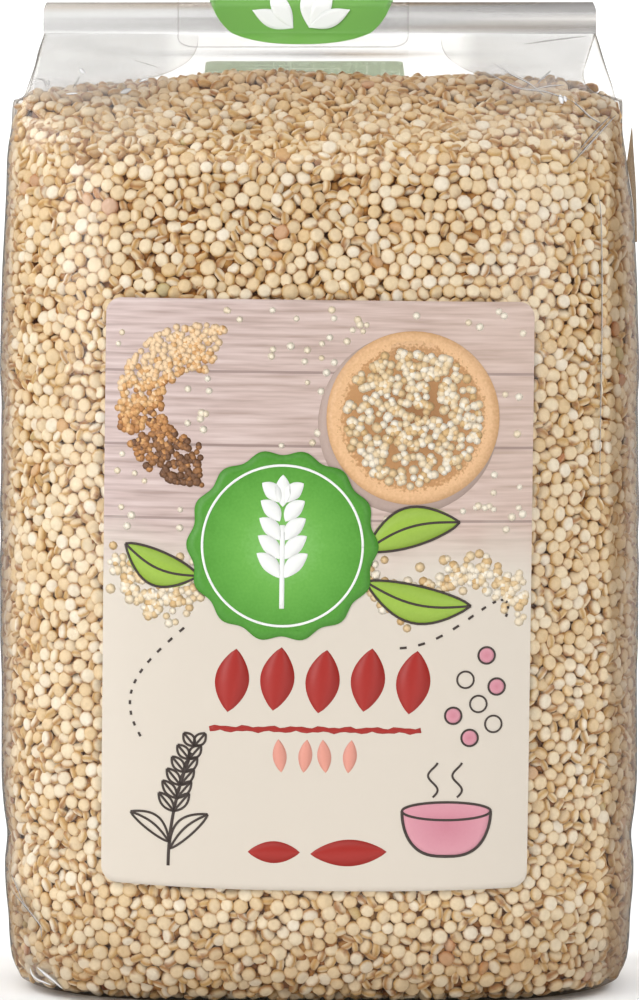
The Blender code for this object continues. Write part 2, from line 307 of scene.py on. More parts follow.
def patches(points):
    """The soft patches on the front film, of smoke, milk, painted shade and painted highlights: each fades out
    from its middle as a flat-topped bell.
    """
    u, v = (points[..., 0] - AXIS_X) / MM, points[..., 2] / MM
    smoke_and_shade, haze_and_highlight = np.zeros_like(u), np.zeros_like(u)
    for (u0, v0), (reach_u, reach_v), smoke_and_shade_share, milk_and_highlight in DULL_AND_PAINTED_PATCHES:
        distance = ((u - u0) / reach_u) ** 2 + ((v - v0) / reach_v) ** 2
        bell = np.exp(-(distance**1.3)) * (points[..., 1] < AXIS_Y)
        smoke_and_shade += smoke_and_shade_share * bell
        haze_and_highlight += milk_and_highlight * bell
    return smoke_and_shade, haze_and_highlight


def grid_faces(rows, columns, wrap=True):
    """Four-sided faces of a grid of points stored row by row, closed round if wrap."""
    row = np.arange(rows - 1)[:, None] * columns
    here = np.arange(columns if wrap else columns - 1)
    after = (here + 1) % columns
    corners = [row + here, row + after, row + columns + after, row + columns + here]
    return np.stack(corners, -1).reshape(-1, 4)


def end_fans(rows, columns):
    """Triangles that close a wrapped grid: its first row round one more point, its last row round the next."""
    here = np.arange(columns)
    after = (here + 1) % columns
    last, count = (rows - 1) * columns, rows * columns
    first_fan = np.stack([after, here, np.full(columns, count)], -1)
    return [first_fan, np.stack([last + here, last + after, np.full(columns, count + 1)], -1)]


def make_piece(name, points, faces, finish, values=None, uv=None, smooth=True):
    """Puts arrays of points and faces into a mesh that rides on the part. values are per-point attributes."""
    groups = [np.asarray(group) for group in faces]
    corners = np.concatenate([group.ravel() for group in groups]).astype(np.int32)
    sizes = np.concatenate([np.full(len(group), group.shape[1]) for group in groups])
    starts = np.concatenate([[0], np.cumsum(sizes)[:-1]]).astype(np.int32)
    mesh = bpy.data.meshes.new(name)
    mesh.vertices.add(len(points))
    mesh.vertices.foreach_set("co", np.ascontiguousarray(points, np.float32).ravel())
    mesh.loops.add(len(corners))
    mesh.loops.foreach_set("vertex_index", corners)
    mesh.polygons.add(len(starts))
    mesh.polygons.foreach_set("loop_start", starts)
    mesh.polygons.foreach_set("use_smooth", np.full(len(starts), smooth))
    mesh.update(calc_edges=True)
    for label, spread in (values or {}).items():
        layer = mesh.attributes.new(label, "FLOAT", "POINT")
        layer.data.foreach_set("value", np.ascontiguousarray(spread, np.float32).ravel())
    if uv is not None:
        mesh.uv_layers.new(name="UVMap").data.foreach_set("uv", uv[corners].astype(np.float32).ravel())
    mesh.materials.append(finish)
    made = bpy.data.objects.new(name, mesh)
    bpy.context.scene.collection.objects.link(made)
    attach(made, "root")
    return made


def empty_finish(name):
    """A material with no nodes but its output, and its node tree."""
    made = bpy.data.materials.new(name)
    made.use_nodes = True
    made.node_tree.nodes.clear()
    return made, made.node_tree


def add(tree, kind, inputs=None, **settings):
    """Adds a shader node: settings are its own options, and inputs gives each socket a value or another
    socket."""
    made = tree.nodes.new("ShaderNode" + kind)
    for key, value in settings.items():
        setattr(made, key, value)
    for key, value in (inputs or {}).items():
        if isinstance(value, bpy.types.NodeSocket):
            tree.links.new(value, made.inputs[key])
        else:
            made.inputs[key].default_value = value
    return made


def math_node(tree, operation, first, second=0.0, clamp=False):
    """Reckons with one or two values: adds, multiplies or whatever the operation is named."""
    return add(tree, "Math", {0: first, 1: second}, operation=operation, use_clamp=clamp).outputs[0]


def value_of(tree, name):
    """A per-point value of the piece, by its name."""
    return add(tree, "Attribute", attribute_name=name).outputs["Fac"]


def mix(tree, share, first, second, kind="MIX"):
    """A colour that goes from the first to the second by a share, or their product with the kind MULTIPLY."""
    made = add(tree, "Mix", {"Factor": share, "A": first, "B": second}, data_type="RGBA", blend_type=kind)
    return made.outputs["Result"]


def finished(finish, tree, surface):
    """Puts a shader on the material's surface, and returns the material."""
    add(tree, "OutputMaterial", {"Surface": surface})
    return finish


def ramp(tree, value, *stops):
    """Colours along a value: each stop is (place, colour)."""
    made = add(tree, "ValToRGB", {"Fac": value})
    elements = made.color_ramp.elements
    while len(elements) < len(stops):
        elements.new(0.5)
    for element, (place, colour) in zip(elements, stops):
        element.position = place
        element.color = (*colour, 1)
    return made.outputs["Color"]


def schlick(tree, strength, normal=None):
    """How much a clear sheet mirrors, the same from either side: 4% face on, rising with the fifth power of
    slant."""
    bumped = {"Normal": normal} if normal else {}
    slant = add(tree, "LayerWeight", {"Blend": 0.5, **bumped}).outputs["Facing"]
    rising = math_node(tree, "MULTIPLY", math_node(tree, "POWER", slant, 5.0), 0.96 * strength)
    return math_node(tree, "ADD", rising, 0.04 * strength)


def part_milky(tree, share, clear_tone, milk_tone):
    """A see-through sheet of one tone, with a milky share of another."""
    clear = add(tree, "BsdfTransparent", {"Color": clear_tone}).outputs[0]
    milk = add(tree, "BsdfDiffuse", {"Color": milk_tone}).outputs[0]
    return add(tree, "MixShader", {0: share, 1: clear, 2: milk}).outputs[0]


def film_finish():
    """Clear film: see-through and dimmer at a slant, with a milky share where it is slack or creased, under a
    gloss that grows at a slant. The dimming towards the outline is partly the sheet's longer path and partly
    painted shade, standing in for the darker surroundings the film would mirror there. The milky share also
    makes painted highlights, and the smoky tint also carries painted shade and painted reflections. The milky
    share and its greyness are per-point values."""
    finish, tree = empty_finish("clear_film")
    place = add(tree, "TexCoord").outputs["Object"]
    haze_and_highlight = value_of(tree, "haze_and_highlight")
    grey = value_of(tree, "grey")
    smoke_and_shade = value_of(tree, "smoke_and_shade")
    pebbles = add(tree, "TexNoise", {"Vector": place, "Scale": 520.0, "Detail": 1.0}).outputs["Fac"]
    bump = add(tree, "Bump", {"Height": pebbles, "Strength": 0.35, "Distance": 0.0004}).outputs["Normal"]
    slant = add(tree, "LayerWeight", {"Blend": 0.5}).outputs["Facing"]
    calm = value_of(tree, "calm")
    # Dimming towards the outline: partly the longer path through the sheet, partly painted shade for the dark
    # surroundings mirrored there.
    edge = math_node(tree, "POWER", slant, 3.0)
    edge = math_node(tree, "MULTIPLY", edge, math_node(tree, "SUBTRACT", 1.0, calm))
    tint = ramp(tree, edge, (0.0, FILM_CLEAR), (0.3, FILM_SLANT), (1.0, FILM_OUTLINE_SHADE))
    shade = ramp(tree, grey, (0.0, FILM_BROWN), (0.5, FILM_DULL))
    # The smoky tint carries the film's own smoke, and also painted shade and painted reflections.
    dulling_and_shade = mix(tree, smoke_and_shade, (1, 1, 1, 1), shade)
    tint = mix(tree, 1.0, tint, dulling_and_shade, "MULTIPLY")
    body = part_milky(tree, haze_and_highlight, tint, ramp(tree, grey, (0.0, FILM_SMOKE), (1.0, FILM_MILK)))
    gloss = add(tree, "BsdfGlossy", {"Color": (1, 1, 1, 1), "Roughness": 0.2, "Normal": bump}).outputs[0]
    shine = math_node(tree, "MINIMUM", schlick(tree, FILM_SHINE, bump), FILM_MOST_SHINE)
    stirred = math_node(tree, "SUBTRACT", 1.0, math_node(tree, "MULTIPLY", calm, 0.95))
    shine = math_node(tree, "MULTIPLY", shine, stirred)
    surface = add(tree, "MixShader", {0: shine, 1: body, 2: gloss}).outputs[0]
    return finished(finish, tree, surface)


def wall_film():
    """Rows of the film from its foot to the ridge: the smooth pouch, moved out along its normals by the film's
    unevenness, with how hazy, grey, smoky and calm each point is. The smoke also carries painted shade along
    the sides and towards the foot."""
    heights = np.concatenate([foot_rows, body_rows, gable_rows])
    rows = np.array([pouch_point(film_angle, np.full(COLUMNS, z)) for z in heights])
    offset = film_offset(rows, film_walk)
    patch_smoke_and_shade, patch_haze_and_highlight = patches(rows)
    across = np.roll(rows, -1, 1) - np.roll(rows, 1, 1)
    up = np.gradient(rows, axis=0)
    normal = np.cross(across, up)
    normal /= np.maximum(np.linalg.norm(normal, axis=-1, keepdims=True), 1e-12)
    rows = rows + normal * offset[..., None]
    lift = np.clip((heights - SHOULDER_Z) / (BAND_Z - SHOULDER_Z), 0, 1)[:, None]
    cloud = 0.5 + 0.5 * wave_noise(film_walk, heights[:, None], 5 * MM, 2.2 * MM, 4)
    slack = BODY_HAZE + GABLE_HAZE * lift * np.clip(cloud, 0, 1.4)
    haze_and_highlight = np.clip(slack + patch_haze_and_highlight, 0, MOST_HAZE)
    grey = np.clip(0.75 + 0.35 * wave_noise(film_walk, heights[:, None], 12 * MM, 1.2 * MM, 6), 0, 1)
    web = np.clip((np.abs(rows[..., 0] - AXIS_X) - WEB_EDGE) / (3 * MM), 0, 1) * (rows[..., 2] > TUCK_Z)
    side_x = (rows[..., 0] - AXIS_X) / MM
    doubling_and_shade = 0
    # Darker film along both sides: partly doubled film, partly painted shade.
    for side, smoke_and_shade_share, start, breadth in FLANKS:
        doubling_and_shade = doubling_and_shade + smoke_and_shade_share * np.clip((side * side_x - start) / breadth, 0, 1)
    doubling_and_shade = doubling_and_shade * np.clip((AXIS_Y + FLANK_BACK - rows[..., 1]) / FLANK_FADE, 0, 1)
    doubling_and_shade = doubling_and_shade * np.clip((FLANK_TOP - rows[..., 2] / MM) / 3, 0, 1)
    # Painted shade: the film darkens towards the foot, where less light reaches.
    doubling_and_shade = doubling_and_shade + FOOT_PAINTED_SHADE * np.clip((FOOT_TOP - heights[:, None]) / FLANK_FADE, 0, 1)
    smoke_and_shade = lift * (0.02 + 0.10 * np.clip(grey - 0.6, 0, 1)) + WEB_SMOKE * web + doubling_and_shade + patch_smoke_and_shade
    smoke_and_shade = np.clip(smoke_and_shade, 0, 1)
    low_film = np.clip((TUCK_Z + 1 * MM - rows[..., 2]) / (3 * MM), 0, 1)
    # The film's tint turns brown where the sides, the foot and the patches are smoky and shaded.
    grey = grey - (grey - 0.08) * np.clip((doubling_and_shade + patch_smoke_and_shade) / 0.12, 0, 1) * low_film
    on_side = side_and_panel(film_angle)[1] == 0
    calm = on_side * np.clip((heights[:, None] - BAND_Z + 1.8 * MM) / (1 * MM), 0, 1)
    calm = np.maximum(calm, 0.7 * np.clip((5 * MM - heights[:, None]) / (3 * MM), 0, 1))
    calm = np.maximum(calm, np.clip(6 * patch_smoke_and_shade, 0, 0.85))
    return rows, {"haze_and_highlight": haze_and_highlight, "grey": grey, "smoke_and_shade": smoke_and_shade, "calm": calm}


def band_film():
    """Rows of the folded band: the ridge spread to a flat slab, pinched in level by level towards its edge and
    waved a little. Its streaks and stripes are values of its points, as on the wall. The smoky stripes are
    painted reflections, and the smoke that grows towards the right is painted shade."""
    panel = side_and_panel(film_angle)[1]
    ridge_x, ridge_y = ridge(film_angle)
    slab_x = np.where(panel > 0, ridge_x, np.sign(ridge_x) * PANEL_HALF_WIDTH)
    slab_y = np.where(ridge_y > 0, ridge_y * FLAP_DEPTH / BAND_HALF_DEPTH, ridge_y)
    middle_y = (FLAP_DEPTH - BAND_HALF_DEPTH) / 2
    share = np.linspace(0.04, 1, len(BAND_PINCH))[:, None]
    pinch = np.array(BAND_PINCH)[:, None]
    x = slab_x * (1 - 0.012 * pinch)
    y = middle_y + (slab_y - middle_y) * (1 - 0.55 * pinch)
    z = BAND_Z + (TOP_Z - BAND_Z) * share + 0 * slab_x
    bend = 0.12 * MM * wave_noise(x, z, 9 * MM, 0.7 * MM, 5) * np.sin(math.pi * share)
    streak = 0.5 + 0.5 * wave_noise(slab_x, z, 16 * MM, 0.45 * MM, 8)
    grey = np.clip(0.55 + 0.5 * wave_noise(slab_x, z, 22 * MM, 0.5 * MM, 10), 0, 1)
    along = slab_x / PANEL_HALF_WIDTH
    haze_and_highlight = np.clip((0.10 + 0.22 * streak) * (0.60 + 0.40 * along), 0.02, MOST_HAZE)
    level = share + 0.05 * wave_noise(slab_x, z, 26 * MM, 40 * MM, 11)
    reflection_stripes = np.interp(level, BAND_STRIPE_LEVELS, BAND_REFLECTION_STRIPES)
    uneven = 0.25 * (0.55 + 0.45 * along) * (streak - 0.5)
    # Painted reflections and painted shade: grey stripes across the band, darker towards the right, away from
    # the stronger lamp.
    smoke_and_shade = reflection_stripes * (1.1 + 0.8 * along) + BAND_BASE_SMOKE + 0.10 * along + uneven
    smoke_and_shade = np.clip(smoke_and_shade * np.clip(0.4 + 6 * level, 0, 1), 0, 1)
    shiny_foot = (share < BAND_FOOT) & (panel != 0)
    calm = np.where(share < BAND_EDGE, 1.0, 0.0) * np.where(shiny_foot, 0.9, 1.0)
    rows = np.stack([x + AXIS_X, y + bend + AXIS_Y, z], -1)
    return rows, {"haze_and_highlight": haze_and_highlight, "grey": grey, "smoke_and_shade": smoke_and_shade, "calm": calm}


def film_surface():
    """The pouch as one grid of rows: foot, body, gable and band, closed by rings that shrink to a point."""
    wall, wall_values = wall_film()
    band, band_values = band_film()
    centre = np.array([AXIS_X, AXIS_Y, 0])
    floor = centre + (wall[0] - centre) * np.array(FLOOR_SHARES)[:, None, None]
    grid = np.concatenate([floor, wall, band])
    grid[..., 2] = np.maximum(grid[..., 2], 0)
    points = np.concatenate([grid.reshape(-1, 3), [centre], [grid[-1].mean(0)]])
    values = {}
    for label, of_floor in FLOOR_VALUES.items():
        spread = np.concatenate([np.full(floor.shape[:2], of_floor), wall_values[label], band_values[label]])
        values[label] = np.append(spread.ravel(), [spread[0, 0], spread[-1, 0]])
    return points, [grid_faces(len(grid), COLUMNS), *end_fans(len(grid), COLUMNS)], values


clear_film = film_finish()
film_points, film_faces, film_values = film_surface()
film = make_piece("film_pouch", film_points, film_faces, clear_film, film_values)
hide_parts("bag")


# Where the right side was tucked in, the film's fold stands off the shoulder as a thin pointed fin. It is
# the same film, two layers flat together, and runs out into the body below.
FIN_OUTER_EDGE = ((47.2, 110.0), (46.9, 119.5), (46.65, 123.0), (46.35, 127.6))
FIN_INNER_EDGE = ((45.2, 110.0), (45.25, 121.3), (45.6, 122.5), (45.83, 124.2), (46.17, 126.9), (46.3, 127.6))
FIN_TIP = 127.6
FIN_FOOT = 110.5
FIN_LEVELS = 40
FIN_THICKNESS = 0.12 * MM
FIN_Y = -1.5 * MM


def fin_surface():
    """The fin: a flat profile of four points carried down from its tip, from an inner edge that meets the
    film below to an outer edge, both cubics through a few points."""
    z = np.linspace(FIN_TIP, FIN_FOOT, FIN_LEVELS)
    body = pouch_point(np.zeros(FIN_LEVELS), z * MM)[:, 0] / MM + 0.05
    outer_x, outer_z = np.array(FIN_OUTER_EDGE).T
    inner_x, inner_z = np.array(FIN_INNER_EDGE).T
    inner = np.maximum(np.interp(z, inner_z, inner_x), body)
    outer = np.maximum(smooth_curve(z, outer_z, outer_x), inner + 0.04)
    x = np.stack([inner, outer, outer, inner], -1) * MM
    y = FIN_THICKNESS / 2 * np.array([-1, -1, 1, 1]) + FIN_Y + 0 * x
    points = np.stack([x, y + AXIS_Y, z[:, None] * MM + 0 * x], -1).reshape(-1, 3)
    ends = np.array([[0, 1, 2, 3]])
    return points, [grid_faces(FIN_LEVELS, 4)[:, ::-1], ends, ends[:, ::-1] + (FIN_LEVELS - 1) * 4]


def film_values_like(count, haze_and_highlight, grey, smoke_and_shade, calm=0.0):
    """The film's per-point values, the same for all points of a small piece."""
    return {"haze_and_highlight": np.full(count, haze_and_highlight), "grey": np.full(count, grey),
            "smoke_and_shade": np.full(count, smoke_and_shade), "calm": np.full(count, calm)}


fin_points, fin_faces = fin_surface()
make_piece("film_fin", fin_points, fin_faces, clear_film,
           film_values_like(len(fin_points), 0.2, 0.0, 0.85))


# Handling has pressed creases into the film, most of them round the shoulders. Each is a low, narrow fold that
# stands off the sheet, with painted shade on one side and a painted highlight on the other. Entries with no
# shaded side are no creases but painted highlights: low milky ridges where the film would mirror a lamp. Each
# has its path, (x, z) in mm as seen from the front, its breadth in mm, how bright its painted highlight is,
# and how dark its painted shade.
CREASES = (
    (((37.0, 131.3), (38.2, 130.3), (39.6, 128.9), (41.2, 127.9)), 0.17, 0.5, 0.9),
    (((43.4, 129.2), (40.0, 125.6), (36.4, 121.7)), 0.17, 0.5, 0.8),
    (((42.5, 129.0), (40.2, 126.7), (37.7, 123.9)), 0.14, 0.4, 0.8),
    (((25.3, 137.0), (28.2, 135.2), (31.0, 133.7), (33.2, 131.8)), 0.15, 0.7, 0.6),
    (((34.1, 135.8), (33.2, 134.9), (31.7, 133.5)), 0.12, 0.5, 0.6),
    (((31.0, 132.8), (33.7, 133.4), (36.1, 133.6)), 0.15, 0.7, 0.5),
    (((24.4, 135.6), (29.0, 133.2), (33.0, 132.6), (37.0, 131.3)), 0.20, 0.5, 0.3),
    (((30.0, 139.7), (35.0, 140.4), (39.8, 141.0)), 0.10, 0.3, 0.6),
    (((35.3, 132.2), (35.6, 130.8)), 0.38, 1.0, 0.0),
    (((35.95, 132.0), (36.15, 131.1)), 0.30, 1.0, 0.0),
    (((40.6, 118.0), (41.1, 114.0), (41.2, 100.0), (41.0, 85.0), (40.9, 73.0)), 0.13, 0.45, 0.7),
    (((-41.9, 134.6), (-40.6, 134.4), (-40.0, 133.1)), 0.12, 0.5, 0.6),
    (((-35.2, 135.0), (-35.7, 133.8), (-36.1, 133.2)), 0.12, 0.4, 0.6),
    (((-27.4, 137.4), (-25.5, 136.8), (-23.5, 136.2)), 0.07, 0.3, 0.2),
    (((-35.3, 136.0), (-34.5, 135.4)), 0.30, 1.0, 0.0),
    (((-40.0, 134.4), (-39.7, 133.5)), 0.26, 1.0, 0.0),
    (((-29.0, 132.4), (-27.4, 133.0)), 0.42, 1.0, 0.0),
    (((-26.4, 134.1), (-25.2, 134.5)), 0.20, 1.0, 0.0),
    (((-37.1, 132.3), (-35.3, 132.4)), 0.16, 0.9, 0.0),
    (((-45.3, 15.0), (-43.7, 13.9), (-42.3, 12.7), (-40.8, 11.1), (-40.5, 10.4), (-40.4, 8.9)),
     0.16, 0.5, 0.8),
    (((-45.3, 17.5), (-44.5, 16.2), (-43.3, 13.9), (-41.8, 12.3)), 0.14, 0.4, 0.8),
    (((-42.4, 4.0), (-42.15, 2.9), (-41.5, 2.3), (-40.4, 2.0), (-39.2, 1.7)), 0.26, 1.0, 0.0),
    (((-41.3, 4.4), (-40.1, 3.5), (-38.75, 2.5), (-37.4, 1.3)), 0.28, 1.0, 0.0),
)
CREASE_RISE = 0.55
GLINT_RISE = 0.15
CREASE_STEPS = 25
CREASE_LIFT = 0.03 * MM


def on_front(x, z, lift):
    """Points of the front film at places (x, z), found by looking along each level, and lifted off it."""
    y = np.empty(len(x))
    for k in range(len(x)):
        low = LEFT_FRONT_CREASE if z[k] > SHOULDER_Z else 0.15
        high = RIGHT_FRONT_CREASE if z[k] > SHOULDER_Z else 0.15
        level = pouch_point(np.linspace(math.pi + low, 2 * math.pi - high, 161), np.full(161, z[k]))
        y[k] = np.interp(x[k] + AXIS_X, level[:, 0], level[:, 1])
    return np.stack([x + AXIS_X, y - lift, z], -1)


def crease_strip(path, breadth, steepness):
    """One crease: a low four-sided ridge carried along a smooth path, tapered to nothing at both ends."""
    way = np.array(path) * MM
    knots = np.linspace(0, 1, len(way))
    share = np.linspace(0, 1, CREASE_STEPS)
    x, z = smooth_curve(share, knots, way[:, 0]), smooth_curve(share, knots, way[:, 1])
    run = np.stack([np.gradient(x), np.gradient(z)], -1)
    run /= np.linalg.norm(run, axis=1, keepdims=True)
    taper = breadth * MM * np.maximum(np.sin(math.pi * share) ** 0.6, 0.06)
    rows = []
    for side, rise in ((-1, 0), (-0.3, 1), (0.3, 1), (1, 0)):
        lift = CREASE_LIFT + rise * steepness * taper
        rows.append(on_front(x - side * taper * run[:, 1], z + side * taper * run[:, 0], lift))
    return np.stack(rows, 1).reshape(-1, 3)


crease_points, crease_faces, crease_highlight, crease_shade = [], [], [], []
for number, (way, breadth, painted_highlight, dulling_and_shade) in enumerate(CREASES):
    first = number * CREASE_STEPS * 4
    crease_points.append(crease_strip(way, breadth, CREASE_RISE if dulling_and_shade else GLINT_RISE))
    ends = first + np.array([[0, 1, 2, 3], [3, 2, 1, 0]]) + np.array([[0], [4 * (CREASE_STEPS - 1)]])
    crease_faces.append(np.concatenate([grid_faces(CREASE_STEPS, 4)[:, ::-1] + first, ends]))
    # Across the ridge: painted shade on the first side and a painted highlight on the far half; glints are
    # milky all across.
    spread = [0.1, 0.3, 0.9, 0.6] if dulling_and_shade else [0.6, 0.95, 0.95, 0.6]
    crease_highlight.append(np.tile(np.array(spread) * painted_highlight, CREASE_STEPS))
    crease_shade.append(np.tile([0.6 * dulling_and_shade, dulling_and_shade, 0.2 * dulling_and_shade, 0], CREASE_STEPS))
crease_points = np.concatenate(crease_points)
crease_values = film_values_like(len(crease_points), 0, 1.0, 0)
crease_values["haze_and_highlight"] = np.concatenate(crease_highlight)
crease_values["smoke_and_shade"] = np.concatenate(crease_shade)
make_piece("film_creases_and_glints", crease_points, crease_faces, clear_film, crease_values)


# The grain itself: some quarter of a million dry seeds fill the pouch, poured in and shaken down. Only those
# against the film and on the heap's top show, so a core fills the middle, just under the seeds that can be
# seen. Its golden brown, near black between its cells, is painted shade for the deeper seeds.
EAVES_Z = 123.2 * MM
RIDGE_Z = 135.4 * MM
RIDGE_DIP = 1.8 * MM
FOLD_ROOM = 1.5 * MM
HEAP_STEEPNESS = 1.2
END_SLOPE = 3.2
CORE_INSET = 1.9 * MM
CORE_COLUMNS = 160
CORE_FOOT_Z = 2.5 * MM
CORE_RIM_Z = EAVES_Z - 2.5 * MM
CORE_UNDER_SEEDS = 2.0 * MM
HEAP_HALF_WIDTH = 43 * MM


def fold_height(x):
    """The lowest line of the tucked-in sides over the plan, from where the tuck starts up to the band."""
    wide = BODY_HALF_WIDTHS[-1]
    folded_in = np.clip((wide - np.abs(x - AXIS_X)) / (wide - TUCK_HALF_WIDTH), 0, 1)
    return TUCK_Z + (BAND_Z - TUCK_Z) * (1 - (1 - folded_in) ** (1 / TUCK_CURVE))


def heap_height(x, y):
    """The heap's top: two slopes up to a flattened ridge along x. The ridge dips to both ends, and steeper
    slopes cut off the ends."""
    u, v = np.abs(x - AXIS_X), np.abs(y - AXIS_Y)
    wide, deep = BODY_HALF_WIDTHS[-1], BODY_HALF_DEPTHS[-1]
    crest = RIDGE_Z - RIDGE_DIP * (u / HEAP_HALF_WIDTH) ** 2
    slopes = EAVES_Z + (crest - EAVES_Z) * np.minimum(1, HEAP_STEEPNESS * (1 - v / deep))
    ends = EAVES_Z + END_SLOPE * (wide - u)
    uneven = 0.40 * MM * wave_noise(x, y, 6 * MM, 5 * MM, 7)
    return np.minimum(slopes, ends) + uneven


def core_surface():
    """The core: the pouch's section drawn in all round, closed above by the heap's top and below by a flat
    disc."""
    around = angle_at(np.arange(CORE_COLUMNS) * GIRTH / CORE_COLUMNS)
    rows = []
    for z in np.linspace(CORE_FOOT_Z, CORE_RIM_Z, 90):
        ring = pouch_point(around, np.full(CORE_COLUMNS, z))
        arm = ring[:, :2] - [AXIS_X, AXIS_Y]
        length = np.linalg.norm(arm, axis=1, keepdims=True)
        bumpy = 0.25 * MM * wave_noise(walk_to(around), z, 0.7 * MM, 0.7 * MM, 9)[:, None]
        ring[:, :2] = [AXIS_X, AXIS_Y] + arm * (1 - CORE_INSET / length + bumpy / length)
        rows.append(ring)
    rim = rows[-1]
    for share in np.linspace(0.96, 0.02, 40):
        ring = rim.copy()
        ring[:, :2] = [AXIS_X, AXIS_Y] + (rim[:, :2] - [AXIS_X, AXIS_Y]) * share
        under_seeds = heap_height(ring[:, 0], ring[:, 1]) - CORE_UNDER_SEEDS
        under_fold = fold_height(ring[:, 0]) - FOLD_ROOM
        ring[:, 2] = np.maximum(np.minimum(under_seeds, under_fold), rim[:, 2])
        rows.append(ring)
    below = rows[0] * [0.5, 0.5, 1]
    grid = np.array([below, *rows])
    tips = [[AXIS_X, AXIS_Y, grid[0, 0, 2]], [AXIS_X, AXIS_Y, grid[-1, :, 2].mean()]]
    faces = [grid_faces(len(grid), CORE_COLUMNS), *end_fans(len(grid), CORE_COLUMNS)]
    return np.concatenate([grid.reshape(-1, 3), tips]), faces


def core_finish():
    """Seeds out of reach of the light, as painted shade: golden brown, in soft cells as broad as a seed,
    darker still between them."""
    finish, tree = empty_finish("deep_grain_shade")
    place = add(tree, "TexCoord").outputs["Object"]
    depth = add(tree, "TexVoronoi", {"Vector": place, "Scale": 520.0}).outputs["Distance"]
    tone = ramp(tree, depth, (0.0, (0.40, 0.18, 0.045)), (0.55, (0.24, 0.09, 0.018)),
                (1, (0.10, 0.03, 0.005)))
    bump = add(tree, "Bump", {"Height": depth, "Strength": 0.6, "Distance": 0.0006}).outputs[0]
    surface = add(tree, "BsdfPrincipled", {"Base Color": tone, "Roughness": 0.6, "Normal": bump}).outputs[0]
    return finished(finish, tree, surface)


core_points, core_faces = core_surface()
make_piece("grain_core", core_points, core_faces, core_finish())


# The seeds that show are white quinoa: flat round lenses some 2 mm across, with a pale disc on either face,
# a thicker golden rim round it, and a small beak where the germ ends. They lie as they fell, most of them
# flat against the film.
SEED_RADIUS = 1.12 * MM
SEED_HALF_THICKNESS = 0.58 * MM
SEED_SPREAD = 0.08
SIZE_LIMITS = (0.72, 1.25)
ODD_SEEDS = 0.014
BEAK = 0.10
FILM_CLEARANCE = 0.15 * MM


def seed_shape(sides, levels):
    """A lens of unit radius: rings at (radius, height) levels between two poles, with a small beak at one
    side. Returns its points, its faces, how golden each point is, from the discs to the rim, and where the
    beak's mark is."""
    turn = np.arange(sides) * 2 * math.pi / sides
    radius, height = np.array(levels).T[:, :, None]
    beak = 1 + BEAK * (turn == 0) * (np.abs(height) < 0.7)
    ring = np.stack([radius * beak * np.cos(turn), radius * beak * np.sin(turn), height + 0 * turn], -1)
    points = np.concatenate([[[0, 0, 1.0]], ring.reshape(-1, 3), [[0, 0, -1.0]]])
    rim = np.concatenate([[0], (radius**8 + 0 * turn).ravel(), [0]])
    mark = np.concatenate([[0], ((turn == 0) & (radius > 0.85)).ravel(), [0]])
    here = np.arange(sides)
    after = (here + 1) % sides
    foot = 1 + (len(levels) - 1) * sides
    top_cap = np.stack([np.zeros(sides, int), 1 + here, 1 + after], -1)
    low_cap = np.stack([np.full(sides, len(points) - 1), foot + after, foot + here], -1)
    high = 1 + np.arange(len(levels) - 1)[:, None] * sides
    corners = [high + here, high + sides + here, high + sides + after, high + after]
    return points, [np.stack(corners, -1).reshape(-1, 4), np.concatenate([top_cap, low_cap])], rim, mark


FULL_SEED = seed_shape(10, ((0.66, 0.88), (0.90, 0.60), (1.0, 0.14),
                            (1.0, -0.14), (0.90, -0.60), (0.66, -0.88)))
PLAIN_SEED = seed_shape(8, ((0.78, 0.78), (1.0, 0.20), (1.0, -0.20), (0.78, -0.78)))
COARSE_SEED = seed_shape(6, ((0.75, 0.78), (1.0, 0.0), (0.75, -0.78)))
UNDER_SEED = seed_shape(5, ((0.96, 0.5), (0.96, -0.5)))


def rough_grid(sheet, pitch, draw):
    """Spots strewn over a flat sheet: staggered rows about a pitch apart, each spot thrown off its place at
    random."""
    columns, rows = max(int(sheet[0] / pitch), 1), max(int(sheet[1] / (0.87 * pitch)), 1)
    u, v = np.meshgrid(np.arange(columns), np.arange(rows))
    spots = np.stack([(u + 0.5 * (v % 2) + 0.25) / columns, (v + 0.5) / rows], -1).reshape(-1, 2) * sheet
    return np.clip(spots + draw.uniform(-0.55, 0.55, spots.shape) * pitch, 0, np.array(sheet) * 0.9999)


